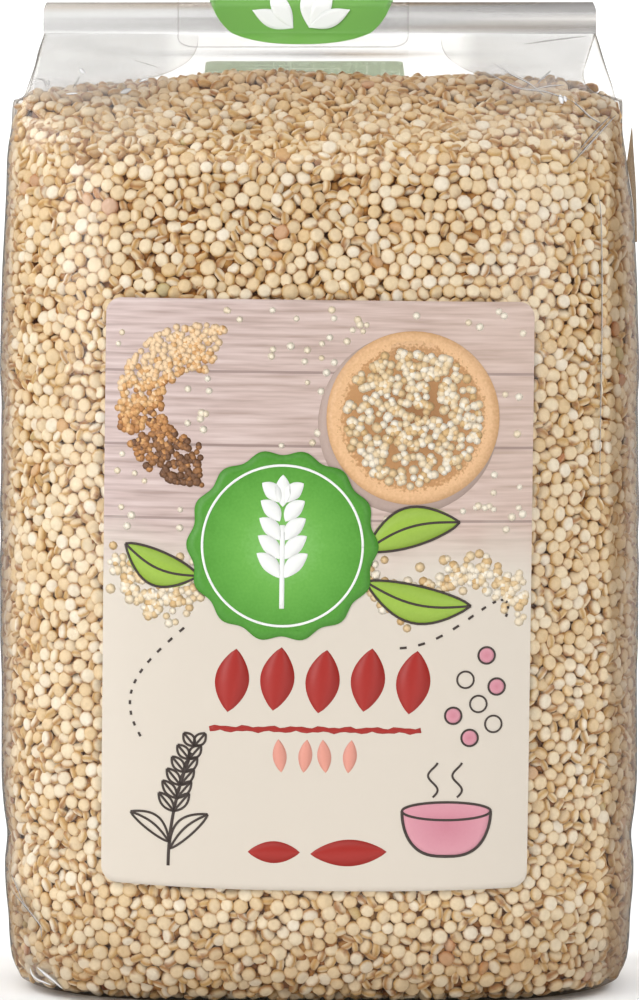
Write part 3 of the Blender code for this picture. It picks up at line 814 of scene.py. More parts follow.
def settle(spots, radii, sheet, wrap, steps):
    """Pushes apart discs that overlap on a flat sheet: each step moves every disc away from those it
    overlaps, which are looked up in a table of square cells. With wrap the sheet's first side runs round to
    meet itself."""
    sheet = np.array(sheet)
    cells = np.maximum((sheet // (2 * radii.max())).astype(int), 3)
    for _ in range(steps):
        home = np.minimum((spots / sheet * cells).astype(int), cells - 1)
        key = home[:, 0] * cells[1] + home[:, 1]
        order = np.argsort(key, kind="stable")
        counts = np.bincount(key, minlength=cells[0] * cells[1])
        starts = np.concatenate([[0], np.cumsum(counts)[:-1]])
        table = np.full((len(counts), counts.max()), -1)
        table[key[order], np.arange(len(key)) - starts[key[order]]] = order
        push = np.zeros_like(spots)
        for step_u in (-1, 0, 1):
            for step_v in (-1, 0, 1):
                u, v = home[:, 0] + step_u, home[:, 1] + step_v
                inside = (v >= 0) & (v < cells[1])
                if not wrap:
                    inside &= (u >= 0) & (u < cells[0])
                near = table[np.mod(u, cells[0]) * cells[1] + np.clip(v, 0, cells[1] - 1)]
                real = (near >= 0) & inside[:, None] & (near != np.arange(len(spots))[:, None])
                gap = spots[:, None] - spots[near]
                if wrap:
                    gap[..., 0] -= sheet[0] * np.round(gap[..., 0] / sheet[0])
                distance = np.maximum(np.linalg.norm(gap, axis=-1), 1e-7)
                overlap = np.clip(radii[:, None] + radii[near] - distance, 0, None) * real
                push += (gap / distance[..., None] * overlap[..., None] * 0.45).sum(1)
        spots = spots + np.clip(push, -0.4 * MM, 0.4 * MM)
        spots[:, 0] = np.mod(spots[:, 0], sheet[0]) if wrap else np.clip(spots[:, 0], 0, sheet[0] * 0.9999)
        spots[:, 1] = np.clip(spots[:, 1], 0, sheet[1] * 0.9999)
    return spots


def seed_frames(normals, tilt, draw):
    """Turning matrices that stand each seed's own axis at a tilt from a surface normal, in a random
    direction."""
    helper = np.where(np.abs(normals[:, 2:]) < 0.9, [[0, 0, 1.0]], [[1.0, 0, 0]])
    first = np.cross(normals, helper)
    first /= np.linalg.norm(first, axis=1, keepdims=True)
    second = np.cross(normals, first)
    lean, spin = draw.uniform(0, 2 * math.pi, (2, len(normals), 1))
    sideways = first * np.cos(lean) + second * np.sin(lean)
    axis = normals * np.cos(tilt)[:, None] + sideways * np.sin(tilt)[:, None]
    flat = np.cross(axis, first + 0.01 * second)
    flat /= np.linalg.norm(flat, axis=1, keepdims=True)
    other = np.cross(axis, flat)
    u = flat * np.cos(spin) + other * np.sin(spin)
    return np.stack([u, np.cross(axis, u), axis], -1)


def seed_tilts(count, draw, flat_share):
    """How far each seed leans: most lie nearly flat, some lean, and a few stand on edge."""
    flat = np.abs(draw.normal(0, math.radians(16), count))
    leaning = draw.uniform(math.radians(20), math.radians(88), count)
    return np.where(draw.random(count) < flat_share, flat, leaning)


def half_height(tilt, sizes):
    """How far a leaning seed reaches along the surface's normal: its radius and its half thickness, each
    times the sine or cosine of its lean, added as squares."""
    lying, standing = SEED_HALF_THICKNESS * np.cos(tilt), SEED_RADIUS * np.sin(tilt)
    return np.sqrt(standing**2 + lying**2) * sizes


def scatter_seeds(name, shape, centres, frames, sizes, finish, draw, depth=0.0):
    """Joins one copy of the seed shape at each centre into a single mesh, each with its own tone and tint;
    depth gives each its painted shade.
    """
    points, faces, rim, mark = shape
    uneven = [draw.uniform(0.94, 1.06, len(centres)) for _ in range(3)]
    stretch = sizes[:, None, None] * np.stack(uneven, -1)[:, None]
    local = points[None] * [SEED_RADIUS, SEED_RADIUS, SEED_HALF_THICKNESS] * stretch
    placed = np.einsum("nij,nvj->nvi", frames, local) + centres[:, None]
    jump = (np.arange(len(centres)) * len(points))[:, None, None]
    grown = [(group[None] + jump).reshape(-1, group.shape[1]) for group in faces]
    tone, warmth = draw.random((2, len(centres)))
    values = {
        "rim": np.tile(rim, len(centres)),
        "mark": np.tile(mark, len(centres)),
        "tone": np.repeat(tone, len(points)),
        "warmth": np.repeat(warmth, len(points)),
        "depth": np.repeat(np.broadcast_to(depth, len(centres)), len(points)),
    }
    return make_piece(name, placed.reshape(-1, 3), grown, finish, values)


def seed_finish():
    """A seed's skin: a cream disc inside a golden rim, with a brown beak mark; now and then an amber, green or
    red seed. Its depth value paints shade into it, a golden brown for seeds deep in the pile and high on the
    heap."""
    finish, tree = empty_finish("quinoa_seed")
    place = add(tree, "TexCoord").outputs["Object"]
    rim = value_of(tree, "rim")
    mark = value_of(tree, "mark")
    tone = value_of(tree, "tone")
    warmth = value_of(tree, "warmth")
    grain = add(tree, "TexNoise", {"Vector": place, "Scale": 1500.0, "Detail": 2.0}).outputs["Fac"]
    disc = ramp(tree, tone, (0.0, (0.81, 0.60, 0.34)), (0.25, (0.89, 0.71, 0.465)),
                (0.7, (0.94, 0.80, 0.575)), (1.0, (0.96, 0.87, 0.72)))
    edge = ramp(tree, warmth, (0.0, (0.66, 0.42, 0.16)), (0.6, (0.58, 0.33, 0.10)), (1.0, (0.45, 0.21, 0.06)))
    rim_share = math_node(tree, "MULTIPLY", math_node(tree, "POWER", rim, 1.2), 0.95, clamp=True)
    skin = mix(tree, rim_share, disc, edge)
    beak = math_node(tree, "MULTIPLY", math_node(tree, "POWER", mark, 1.2), 0.8)
    skin = mix(tree, beak, skin, (0.38, 0.17, 0.07, 1))
    odd = ramp(tree, warmth, (0.0, (0.42, 0.40, 0.16)), (0.5, (0.62, 0.30, 0.08)), (1.0, (0.50, 0.14, 0.07)))
    shuffled = math_node(tree, "FRACT", math_node(tree, "MULTIPLY", tone, 37.0))
    rare = math_node(tree, "GREATER_THAN", shuffled, 1 - ODD_SEEDS)
    skin = mix(tree, math_node(tree, "MULTIPLY", rare, 0.55), skin, odd)
    # Painted shade: the depth value darkens the skin towards golden brown.
    depth = value_of(tree, "depth")
    shaded = mix(tree, 1.0, skin, (0.56, 0.35, 0.13, 1), "MULTIPLY")
    skin = mix(tree, depth, skin, shaded)
    mottle = ramp(tree, grain, (0.3, (0.90, 0.88, 0.85)), (0.7, (1.0, 1.0, 1.0)))
    skin = mix(tree, 1.0, skin, mottle, "MULTIPLY")
    surface = add(tree, "BsdfPrincipled", {"Base Color": skin, "Roughness": 0.5, "Specular IOR Level": 0.3})
    return finished(finish, tree, surface.outputs[0])


def skin_frame(walk, z):
    """Points of the pouch at a distance round it and a height, and the film's outward normals there."""
    step = 0.4 * MM
    here = pouch_point(angle_at(walk), z)
    across = pouch_point(angle_at(walk + step), z) - pouch_point(angle_at(walk - step), z)
    up = pouch_point(angle_at(walk), z + step) - pouch_point(angle_at(walk), np.maximum(z - step, 0))
    normal = np.cross(across, up)
    return here, normal / np.linalg.norm(normal, axis=1, keepdims=True)


FRONT_SPLIT_Z = (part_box("front_label")[0][2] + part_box("front_label")[1][2]) / 2
WALL_TOP_Z = SHOULDER_Z + 5 * MM
LOWEST_SEED_Z = 0.75 * MM
LABEL_MARGIN = 1.8 * MM
CORNER_ANGLE = math.radians(24)


def under_label(points, margin):
    """True for points that the paper label hides from the front by more than a margin."""
    low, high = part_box("front_label")
    inside_x = (points[:, 0] > low[0] + margin) & (points[:, 0] < high[0] - margin)
    inside_z = (points[:, 2] > low[2] + margin) & (points[:, 2] < high[2] - margin)
    return inside_x & inside_z & (points[:, 1] < AXIS_Y)


def wall_seeds(pitch, spacing, depth, flat_share, seed, steps=35):
    """A layer of seeds against the film all round: spots strewn on the unrolled wall are settled apart,
    wrapped back round the pouch, and drawn in until each seed just touches the film, or lies deeper."""
    draw = np.random.default_rng(seed)
    spots = rough_grid((GIRTH, WALL_TOP_Z), pitch, draw)
    count = len(spots)
    sizes = np.clip(draw.normal(1, SEED_SPREAD, count), 0.80, 1.18)
    tilt = seed_tilts(count, draw, flat_share)
    reach = SEED_RADIUS * sizes * spacing * (0.66 + 0.34 * np.cos(tilt))
    spots = settle(spots, reach, (GIRTH, WALL_TOP_Z), True, steps)
    skin, normal = skin_frame(spots[:, 0], spots[:, 1])
    rise = half_height(tilt, sizes)
    depth_here = rise + FILM_CLEARANCE + depth[0] + (depth[1] - depth[0]) * draw.random(count) ** 2
    centres = skin - normal * depth_here[:, None]
    centres[:, 2] = np.maximum(centres[:, 2], LOWEST_SEED_Z)
    keep = ~under_label(skin, LABEL_MARGIN)
    keep &= centres[:, 2] < heap_height(centres[:, 0], centres[:, 1]) + 0.2 * MM
    frames = seed_frames(normal, tilt, draw)
    angle = angle_at(spots[:, 0])
    turned = np.abs(np.mod(angle + math.pi / 2, math.pi) - math.pi / 2)
    panel = np.where(np.sin(angle) > 0, 3, np.where(spots[:, 1] > FRONT_SPLIT_Z, 0, 1))
    side = np.where(np.cos(angle) > 0, 2, 4)
    face = np.where(turned < CORNER_ANGLE, side, panel)
    return centres[keep], frames[keep], sizes[keep], face[keep], draw


quinoa = seed_finish()
WALL_NAMES = ("seeds_front_high", "seeds_front_low", "seeds_right", "seeds_back", "seeds_left")
for suffix, shape, layer, depth in (
    ("", PLAIN_SEED, wall_seeds(1.84 * MM, 0.92, (0.0, 0.55 * MM), 0.36, 21), 0.0),
    ("_under", UNDER_SEED, wall_seeds(1.88 * MM, 0.90, (0.75 * MM, 1.25 * MM), 0.45, 22, 12), 1.0),
):
    centres, frames, sizes, face, draw = layer
    for number, name in enumerate(WALL_NAMES):
        mine = face == number
        own_shape = {0: FULL_SEED, 1: FULL_SEED, 3: COARSE_SEED}.get(number, shape) if suffix == "" else shape
        # Under-layer seeds get painted shade, less of it near the eaves.
        under_shade = depth * np.clip((EAVES_Z - centres[mine, 2]) / (3 * MM), 0.2, 1)
        scatter_seeds(name + suffix, own_shape, centres[mine], frames[mine], sizes[mine], quinoa, draw, under_shade)


# The heap's top lies loose under the slack film of the gable: seeds flat on its slopes, with a few thrown
# on top.
PLAN_CELL = 0.5 * MM
PLAN_HALF = np.array([int(50 * MM / PLAN_CELL), int(32 * MM / PLAN_CELL)])
SEED_SWING = 1
CEILING_COLUMNS = 1800
STEEPEST = 1.5


def film_ceiling_map():
    """The lowest film over each cell of the plan, taken from many points of the gable, and then the lowest
    of the cells within a seed's swing."""
    around = angle_at(np.linspace(0, GIRTH, CEILING_COLUMNS, endpoint=False))
    levels = np.linspace(SHOULDER_Z, BAND_Z, 240)
    rows = np.array([pouch_point(around, np.full(CEILING_COLUMNS, z)) for z in levels])
    cells = np.round((rows[..., :2] - [AXIS_X, AXIS_Y]) / PLAN_CELL).astype(int) + PLAN_HALF
    plan = np.full((2 * PLAN_HALF[0] + 1, 2 * PLAN_HALF[1] + 1), BAND_Z)
    np.minimum.at(plan, (cells[..., 0].ravel(), cells[..., 1].ravel()), rows[..., 2].ravel())
    lowest = plan.copy()
    for step_x in range(-SEED_SWING, SEED_SWING + 1):
        for step_y in range(-SEED_SWING, SEED_SWING + 1):
            if step_x**2 + step_y**2 <= SEED_SWING**2:
                lowest = np.minimum(lowest, np.roll(plan, (step_x, step_y), (0, 1)))
    return lowest


ceiling = film_ceiling_map()


def film_ceiling(x, y):
    """The lowest film over places on the plan, looked up in the map's cells."""
    cells = np.round(np.stack([x - AXIS_X, y - AXIS_Y], -1) / PLAN_CELL).astype(int) + PLAN_HALF
    return ceiling[cells[:, 0], cells[:, 1]]


def spread_on_plan(wide, deep, pitch, room, steps, draw):
    """Spots strewn over a rectangle of the plan and settled apart, with each seed's size. Room is the share
    of its radius that a seed keeps free."""
    sheet = (2 * wide, 2 * deep)
    spots = rough_grid(sheet, pitch, draw)
    sizes = np.clip(draw.normal(1, SEED_SPREAD, len(spots)), *SIZE_LIMITS)
    spots = settle(spots, SEED_RADIUS * room * sizes, sheet, False, steps)
    return spots[:, 0] - wide, spots[:, 1] - deep, sizes


def heap_seeds(pitch, sunk, seed):
    """Seeds on the heap's slopes: spots are settled on the plan, kept inside the pouch, and laid on the
    surface."""
    draw = np.random.default_rng(seed)
    wide, deep = BODY_HALF_WIDTHS[-1], BODY_HALF_DEPTHS[-1]
    x, y, sizes = spread_on_plan(wide, deep, pitch, 0.80, 30, draw)
    x, y, count = x + AXIS_X, y + AXIS_Y, len(x)
    z = heap_height(x, y)
    step = 0.8 * MM
    slope_x = (heap_height(x + step, y) - heap_height(x - step, y)) / (2 * step)
    slope_y = (heap_height(x, y + step) - heap_height(x, y - step)) / (2 * step)
    normal = np.stack([-np.clip(slope_x, -STEEPEST, STEEPEST), -slope_y, np.ones(count)], -1)
    normal /= np.linalg.norm(normal, axis=1, keepdims=True)
    tilt = seed_tilts(count, draw, 0.40)
    rise = half_height(tilt, sizes)
    z = np.minimum(z - sunk - draw.uniform(0, 0.6, count) * MM, film_ceiling(x, y) - rise - FILM_CLEARANCE)
    reach_x, reach_y = wide - 1.4 * MM - RIGHT_PINCH * (x > AXIS_X), deep - 1.2 * MM
    share_x, share_y = np.abs(x - AXIS_X) / reach_x, np.abs(y - AXIS_Y) / reach_y
    edge = share_x**SECTION_EXPONENT + share_y**SECTION_EXPONENT
    keep = (edge < 1) & (z > EAVES_Z - 4 * MM)
    centres = np.stack([x, y, z], -1)
    return centres[keep], seed_frames(normal, tilt, draw)[keep], sizes[keep], draw


for name, shape, pitch, sunk, seed, depth in (
    ("seeds_heap", PLAIN_SEED, 1.62 * MM, 0.35 * MM, 31, 0.0),
    ("seeds_heap_under", UNDER_SEED, 1.8 * MM, 1.3 * MM, 32, 0.6),
):
    centres, frames, sizes, draw = heap_seeds(pitch, sunk, seed)
    # Painted shade: the under-layer, and the seeds high on the heap in the lee of the band, are darkened.
    shade = depth + 0.32 * np.clip((centres[:, 2] - 129 * MM) / (4 * MM), 0, 1)
    scatter_seeds(name, shape, centres, frames, sizes, quinoa, draw, shade)


# The seeds on the bottom are of the same grain. They lie on the film that the pouch stands on, most of them
# pressed flat by the weight above them.
def bottom_seeds(seed):
    """One layer: spots settled apart on the plan, kept inside the foot's superellipse, a half height above
    the film."""
    draw = np.random.default_rng(seed)
    wide, deep = BODY_HALF_WIDTHS[0], BODY_HALF_DEPTHS[0]
    x, y, sizes = spread_on_plan(wide, deep, 1.95 * MM, 0.9, 25, draw)
    count = len(x)
    keep = (np.abs(x) / wide) ** SECTION_EXPONENT + (np.abs(y) / deep) ** SECTION_EXPONENT < 0.97
    tilt = seed_tilts(count, draw, 0.75)
    rise = half_height(tilt, sizes)
    centres = np.stack([x + AXIS_X, y + AXIS_Y, rise + 0.1 * MM], -1)
    frames = seed_frames(np.tile([0, 0, -1.0], (count, 1)), tilt, draw)
    return centres[keep], frames[keep], sizes[keep], draw


centres, frames, sizes, draw = bottom_seeds(41)
scatter_seeds("seeds_bottom", COARSE_SEED, centres, frames, sizes, quinoa, draw)


# The front label is matt paper with rounded corners, printed in colour and stuck flat on the film: a field
# of grey planks that fades into cream below. It follows the front's gentle curve, and hangs a fraction of a
# degree askew.
LABEL_WIDTH = 61.6 * MM
LABEL_HEIGHT = 84.4 * MM
LABEL_CORNER = 2.2 * MM
LABEL_BOW = 0.6 * MM
LABEL_TILT = math.radians(0.66)
PAPER_BACK = 0.22 * MM
PAPER_FRONT = 0.36 * MM
LABEL_RAISED = (LABEL_WIDTH / 2 - LABEL_CORNER) * math.sin(LABEL_TILT)
LABEL_MIDDLE_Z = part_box("front_label")[1][2] - LABEL_HEIGHT / 2 - LABEL_RAISED
CREAM = (0.69, 0.62, 0.53)
PLANKS_UP = 8.0


def on_label(s, t, lift):
    """Where a spot of the flat label lies: turned by the label's tilt, then wrapped over the front's
    section curve, the superellipse solved for its depth, and lifted off the film."""
    x = s * math.cos(LABEL_TILT) + t * math.sin(LABEL_TILT)
    z = LABEL_MIDDLE_Z + t * math.cos(LABEL_TILT) - s * math.sin(LABEL_TILT)
    share = np.clip(np.abs(x) / half_width(z), 0, 0.98)
    depth = half_depth(z) * (1 - share**SECTION_EXPONENT) ** (1 / SECTION_EXPONENT)
    return np.stack([x + AXIS_X, AXIS_Y - depth - lift, z], -1)


def closed_sheet(back, front):
    """A thin body between two grids of points of the same shape, joined along all four edges."""
    rows, columns = front.shape[:2]
    size = rows * columns
    skin = grid_faces(rows, columns, wrap=False)
    spots = np.arange(size).reshape(rows, columns)
    edge = np.concatenate([spots[0, :-1], spots[:-1, -1], spots[-1, :0:-1], spots[:0:-1, 0]])
    after = np.roll(edge, -1)
    rim = np.stack([edge, edge + size, after + size, after], -1)
    points = np.concatenate([front.reshape(-1, 3), back.reshape(-1, 3)])
    return points, np.concatenate([skin, skin[:, ::-1] + size, rim])


def rounded_columns(half, corner, middle_count):
    """Places across a sheet with round corners, close together at the corners, and how far the corner is
    cut there."""
    turn = np.linspace(0, math.pi / 2, 9)
    outer = half - corner * (1 - np.sin(turn))
    across = np.concatenate([-outer[:0:-1], np.linspace(-outer[0], outer[0], middle_count), outer[1:]])
    over = np.clip(np.abs(across) - (half - corner), 0, corner)
    return across, corner - np.sqrt(corner**2 - over**2)


def label_finish():
    """Printed paper: planks with dark seams and streaks of grain, which give way to plain cream below."""
    finish, tree = empty_finish("label_paper")
    flat = add(tree, "UVMap", uv_map="UVMap").outputs["UV"]
    parts = add(tree, "SeparateXYZ", {"Vector": flat})
    across, up = parts.outputs["X"], parts.outputs["Y"]
    streaks = add(tree, "Mapping", {"Vector": flat, "Scale": (5.0, 120.0, 1.0)}).outputs["Vector"]
    grain = add(tree, "TexNoise", {"Vector": streaks, "Scale": 1.0, "Detail": 3.0}).outputs["Fac"]
    wood = ramp(tree, grain, (0.30, (0.42, 0.31, 0.28)), (0.5, (0.58, 0.45, 0.42)), (0.7, (0.70, 0.57, 0.54)))
    warm = mix(tree, math_node(tree, "MULTIPLY", across, 0.35), wood, (0.62, 0.44, 0.30, 1))
    board = math_node(tree, "FRACT", math_node(tree, "MULTIPLY", up, PLANKS_UP))
    seam = math_node(tree, "LESS_THAN", board, 0.035)
    planks = mix(tree, math_node(tree, "MULTIPLY", seam, 0.7), warm, (0.26, 0.18, 0.16, 1))
    drift = add(tree, "TexNoise", {"Vector": flat, "Scale": 7.0, "Detail": 2.0}).outputs["Fac"]
    level = math_node(tree, "ADD", up, math_node(tree, "MULTIPLY", drift, 0.14))
    share = add(tree, "MapRange", {"Value": level, "From Min": 0.60, "From Max": 0.70}).outputs["Result"]
    printed = mix(tree, share, (*CREAM, 1), planks)
    surface = add(tree, "BsdfPrincipled", {"Base Color": printed, "Roughness": 0.5})
    return finished(finish, tree, surface.outputs[0])


across, cut = rounded_columns(LABEL_WIDTH / 2, LABEL_CORNER, 61)
low = -LABEL_HEIGHT / 2 + LABEL_BOW * ((2 * across / LABEL_WIDTH) ** 2 - 1) + cut
high = LABEL_HEIGHT / 2 - cut
label_t = low + (high - low) * np.linspace(0, 1, 91)[:, None]
label_s = across + 0 * label_t
label_back, label_front = (on_label(label_s, label_t, lift) for lift in (PAPER_BACK, PAPER_FRONT))
label_points, label_faces = closed_sheet(label_back, label_front)
label_uv = np.stack([label_s / LABEL_WIDTH + 0.5, label_t / LABEL_HEIGHT + 0.5], -1).reshape(-1, 2)
label_uv = np.tile(label_uv, (2, 1))
paper = make_piece("label_sheet", label_points, [label_faces], label_finish(), uv=label_uv)
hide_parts("front_label")


# The print on the label: flat fields of ink. Each field is a film of colour a few hundredths of a
# millimetre thick, laid over the paper and over the fields under it. Places on the label are in mm from its
# middle.
INK = 0.02 * MM


def blot(s, t, level, rings=6):
    """An inked field whose outline is a closed loop s, t: the loop is shrunk to its middle in rings on the
    face, and again behind. Level says which ink it is, counted up from the paper."""
    middle_s, middle_t = s.mean(), t.mean()
    shares = np.concatenate([np.linspace(0, 1, rings + 1)[1:], [1.0, 0.5]])[:, None]
    grid_s, grid_t = middle_s + (s - middle_s) * shares, middle_t + (t - middle_t) * shares
    raised = np.where(np.arange(len(shares)) < rings, 2 * level + 1, 2 * level)
    lift = PAPER_FRONT + INK * raised
    grid = on_label(grid_s * MM, grid_t * MM, lift[:, None])
    poles = on_label(np.full(2, middle_s * MM), np.full(2, middle_t * MM), lift[[0, -1]])
    columns, size = len(s), grid.shape[0] * len(s)
    here = np.arange(columns)
    after = (here + 1) % columns
    face = grid_faces(len(shares), columns)[:, ::-1]
    front = np.stack([here, after, np.full(columns, size)], -1)
    back = np.stack([size - columns + after, size - columns + here, np.full(columns, size + 1)], -1)
    tone = np.append((shares + 0 * s).ravel(), [0.0, 0.0])
    return np.concatenate([grid.reshape(-1, 3), poles]), [face, front, back], tone


def stroke(s, t, width, level, tone=0.5):
    """A stroke of ink: a flat profile, three points on its face and two behind, carried along a path s, t.
    The width may change along the path, as in a leaf."""
    run, rise = np.gradient(s), np.gradient(t)
    length = np.hypot(run, rise)
    side_s, side_t = rise / length, -run / length
    half = np.broadcast_to(width, s.shape) / 2
    across = np.array([-1.0, 0.0, 1.0, 1.0, -1.0])[:, None]
    lift = np.array([1, 1, 1, 0, 0])[:, None] * INK + PAPER_FRONT + 2 * INK * level
    grid = on_label((s + side_s * half * across) * MM, (t + side_t * half * across) * MM, lift + 0 * s)
    points = grid.transpose(1, 0, 2).reshape(-1, 3)
    ends = np.array([[0, 1, 2, 3, 4]])
    last = (len(s) - 1) * 5
    return points, [grid_faces(len(s), 5), ends[:, ::-1], ends + last], np.full(len(points), tone)


def dots(s, t, radius, level, tone, sides=8):
    """Printed seeds: small round blobs of ink, each a ring of points between a raised middle and a low
    one."""
    turn = np.arange(sides) * 2 * math.pi / sides
    ring_s = s[:, None] + radius[:, None] * np.cos(turn)
    ring_t = t[:, None] + radius[:, None] * np.sin(turn)
    base = PAPER_FRONT + 2 * INK * level
    ring = on_label(ring_s * MM, ring_t * MM, base + 0.5 * INK)
    front = on_label(s * MM, t * MM, base + 1.6 * INK)[:, None]
    back = on_label(s * MM, t * MM, base)[:, None]
    points = np.concatenate([front, ring, back], 1)
    here = 1 + np.arange(sides)
    after = 1 + (np.arange(sides) + 1) % sides
    fan = np.concatenate([
        np.stack([0 * here, here, after], -1),
        np.stack([0 * here + sides + 1, after, here], -1),
    ])
    faces = fan[None] + (np.arange(len(s)) * (sides + 2))[:, None, None]
    return points.reshape(-1, 3), [faces.reshape(-1, 3)], np.repeat(tone, sides + 2)


def print_piece(name, finish, fields):
    """Joins fields of one ink into a piece."""
    start, points, faces, tones = 0, [], [], []
    for spots, groups, tone in fields:
        points.append(spots)
        faces += [np.asarray(group) + start for group in groups]
        tones.append(tone)
        start += len(spots)
    return make_piece(name, np.concatenate(points), faces, finish, {"tone": np.concatenate(tones)})


def ink(name, *stops):
    """Printing ink over paper: its colour follows the piece's tone, with the faint tooth of the paper in
    it."""
    finish, tree = empty_finish(name)
    tone = value_of(tree, "tone")
    place = add(tree, "TexCoord").outputs["Object"]
    tooth = add(tree, "TexNoise", {"Vector": place, "Scale": 2500.0, "Detail": 1.0}).outputs["Fac"]
    faint = add(tree, "Math", {0: tooth, 1: 0.24, 2: -0.12}, operation="MULTIPLY_ADD").outputs[0]
    shade = math_node(tree, "ADD", tone, faint)
    surface = add(tree, "BsdfPrincipled", {"Base Color": ramp(tree, shade, *stops), "Roughness": 0.45})
    return finished(finish, tree, surface.outputs[0])


def circle(s, t, radius, count=64, lobes=0, depth=0.0):
    """A closed loop: a circle whose radius waves in and out by a share, once for each lobe."""
    turn = np.arange(count) * 2 * math.pi / count
    reach = radius * (1 + depth * np.cos(lobes * turn))
    return s + reach * np.cos(turn), t + reach * np.sin(turn)


def leaf_path(s, t, length, angle, along, side):
    """A line turned by an angle: places a share along it and a share to its side, both of its length."""
    path_s = s + length * (along * math.cos(angle) - side * math.sin(angle))
    return path_s, t + length * (along * math.sin(angle) + side * math.cos(angle))


def leaf(s, t, length, width, angle, level, bend=0.0, tone=0.5, count=17):
    """A pointed leaf: a stroke along a gently bent line, whose width swells as a sine and shrinks again."""
    along = np.linspace(0, 1, count)
    path = leaf_path(s, t, length, angle, along, bend * np.sin(math.pi * along))
    return stroke(*path, np.maximum(width * np.sin(math.pi * along) ** 0.8, 0.02), level, tone)


PEN = 0.34


def leaf_lines(s, t, length, width, angle, level, bend=0.0):
    """Pen lines round a leaf and down its middle."""
    along = np.linspace(0, 1, 17)
    lines = []
    for side_share in (-0.5, 0.0, 0.5):
        side = bend * np.sin(math.pi * along) + side_share * width / length * np.sin(math.pi * along) ** 0.8
        lines.append(stroke(*leaf_path(s, t, length, angle, along, side), PEN, level))
    return lines


BOWL = (13.5, 25.5)
BOWL_RADIUS = 12.4
BADGE = (-5.0, 7.0)
BADGE_RADIUS = 13.4
BROWN_TRAIL = (-17.5, 27.0)
print_draw = np.random.default_rng(51)

dark_line = ink("dark_line_ink", (0.0, (0.035, 0.022, 0.018)), (1.0, (0.06, 0.04, 0.03)))
shadow_ink = ink("shadow_ink", (0.0, (0.30, 0.20, 0.16)), (1.0, (0.46, 0.34, 0.29)))
bowl_shadow = circle(BOWL[0] - 0.7, BOWL[1] - 0.9, BOWL_RADIUS + 0.5)
print_piece("print_bowl_shadow", shadow_ink, [blot(*bowl_shadow, 0, 8)])
bowl_wood = ink("bowl_wood_ink", (0.0, (0.30, 0.14, 0.05)), (0.80, (0.52, 0.27, 0.11)),
                (0.86, (0.80, 0.50, 0.27)), (1.0, (0.66, 0.38, 0.18)))
print_piece("print_bowl", bowl_wood, [blot(*circle(*BOWL, BOWL_RADIUS), 1, 9)])


def spots_in_ring(count, inner, outer, from_angle=0.0, to_angle=2 * math.pi):
    """Random spots spread evenly over part of a ring: the radius is drawn so that its square is even."""
    reach = np.sqrt(print_draw.uniform(inner**2, outer**2, count))
    turn = print_draw.uniform(from_angle, to_angle, count)
    return reach * np.cos(turn), reach * np.sin(turn)


cream_seed = ink("cream_seed_ink", (0.0, (0.66, 0.42, 0.18)), (0.4, (0.80, 0.62, 0.38)),
                 (1.0, (0.90, 0.82, 0.68)))
u, v = spots_in_ring(430, 0, BOWL_RADIUS * 0.79)
print_piece("print_bowl_seeds", cream_seed, [
    dots(u + BOWL[0], v + BOWL[1], print_draw.uniform(0.5, 0.75, len(u)), 2, print_draw.random(len(u))),
])

brown_seed = ink("brown_seed_ink", (0.0, (0.16, 0.07, 0.03)), (0.45, (0.52, 0.23, 0.07)),
                 (0.8, (0.74, 0.42, 0.17)), (1.0, (0.86, 0.62, 0.38)))
u, v = spots_in_ring(620, 5.0, 11.5, math.radians(70), math.radians(275))
lean = np.clip(0.5 + 0.06 * (v - u * 0.4) + print_draw.normal(0, 0.2, len(u)), 0, 1)
print_piece("print_brown_seeds", brown_seed, [
    dots(u + BROWN_TRAIL[0], v + BROWN_TRAIL[1], print_draw.uniform(0.42, 0.62, len(u)), 0, lean),
])

u, v = print_draw.uniform((-29, 9), (29.5, 41), (230, 2)).T
clear_of_bowl = np.hypot(u - BOWL[0], v - BOWL[1]) > BOWL_RADIUS + 1.2
clear_of_badge = np.hypot(u - BADGE[0], v - BADGE[1]) > BADGE_RADIUS + 0.8
from_brown = np.hypot(u - BROWN_TRAIL[0], v - BROWN_TRAIL[1])
clear_of_brown = (from_brown > 12.5) | (from_brown < 4.3)
loose = clear_of_bowl & clear_of_badge & clear_of_brown
sizes, tones = print_draw.uniform(0.42, 0.62, loose.sum()), print_draw.uniform(0.6, 1, loose.sum())
print_piece("print_loose_seeds", cream_seed, [dots(u[loose], v[loose], sizes, 0, tones)])

u = np.concatenate([print_draw.uniform(-30, -15, 150), print_draw.uniform(6, 30, 230)])
v = 1.5 + 2.4 * np.sin(u * 0.35) + print_draw.normal(0, 1.6, len(u))
print_piece("print_heaped_seeds", cream_seed, [
    dots(u, v, print_draw.uniform(0.5, 0.8, len(u)), 0, print_draw.uniform(0.0, 1, len(u))),
])

leaf_green = ink("leaf_green_ink", (0.0, (0.22, 0.40, 0.03)), (1.0, (0.42, 0.58, 0.08)))
LEAVES = (
    ((7.0, 6.5, 14.0, 5.6, 0.30), 0.10),
    ((7.0, 2.0, 15.5, 5.4, -0.22), -0.10),
    ((-17.0, 2.5, 11.5, 5.0, 2.75), 0.12),
)
print_piece("print_leaves", leaf_green, [leaf(*form, 1, bend=bend) for form, bend in LEAVES])
leaf_pen = [line for form, bend in LEAVES for line in leaf_lines(*form, 2, bend)]
print_piece("print_leaf_lines", dark_line, leaf_pen)

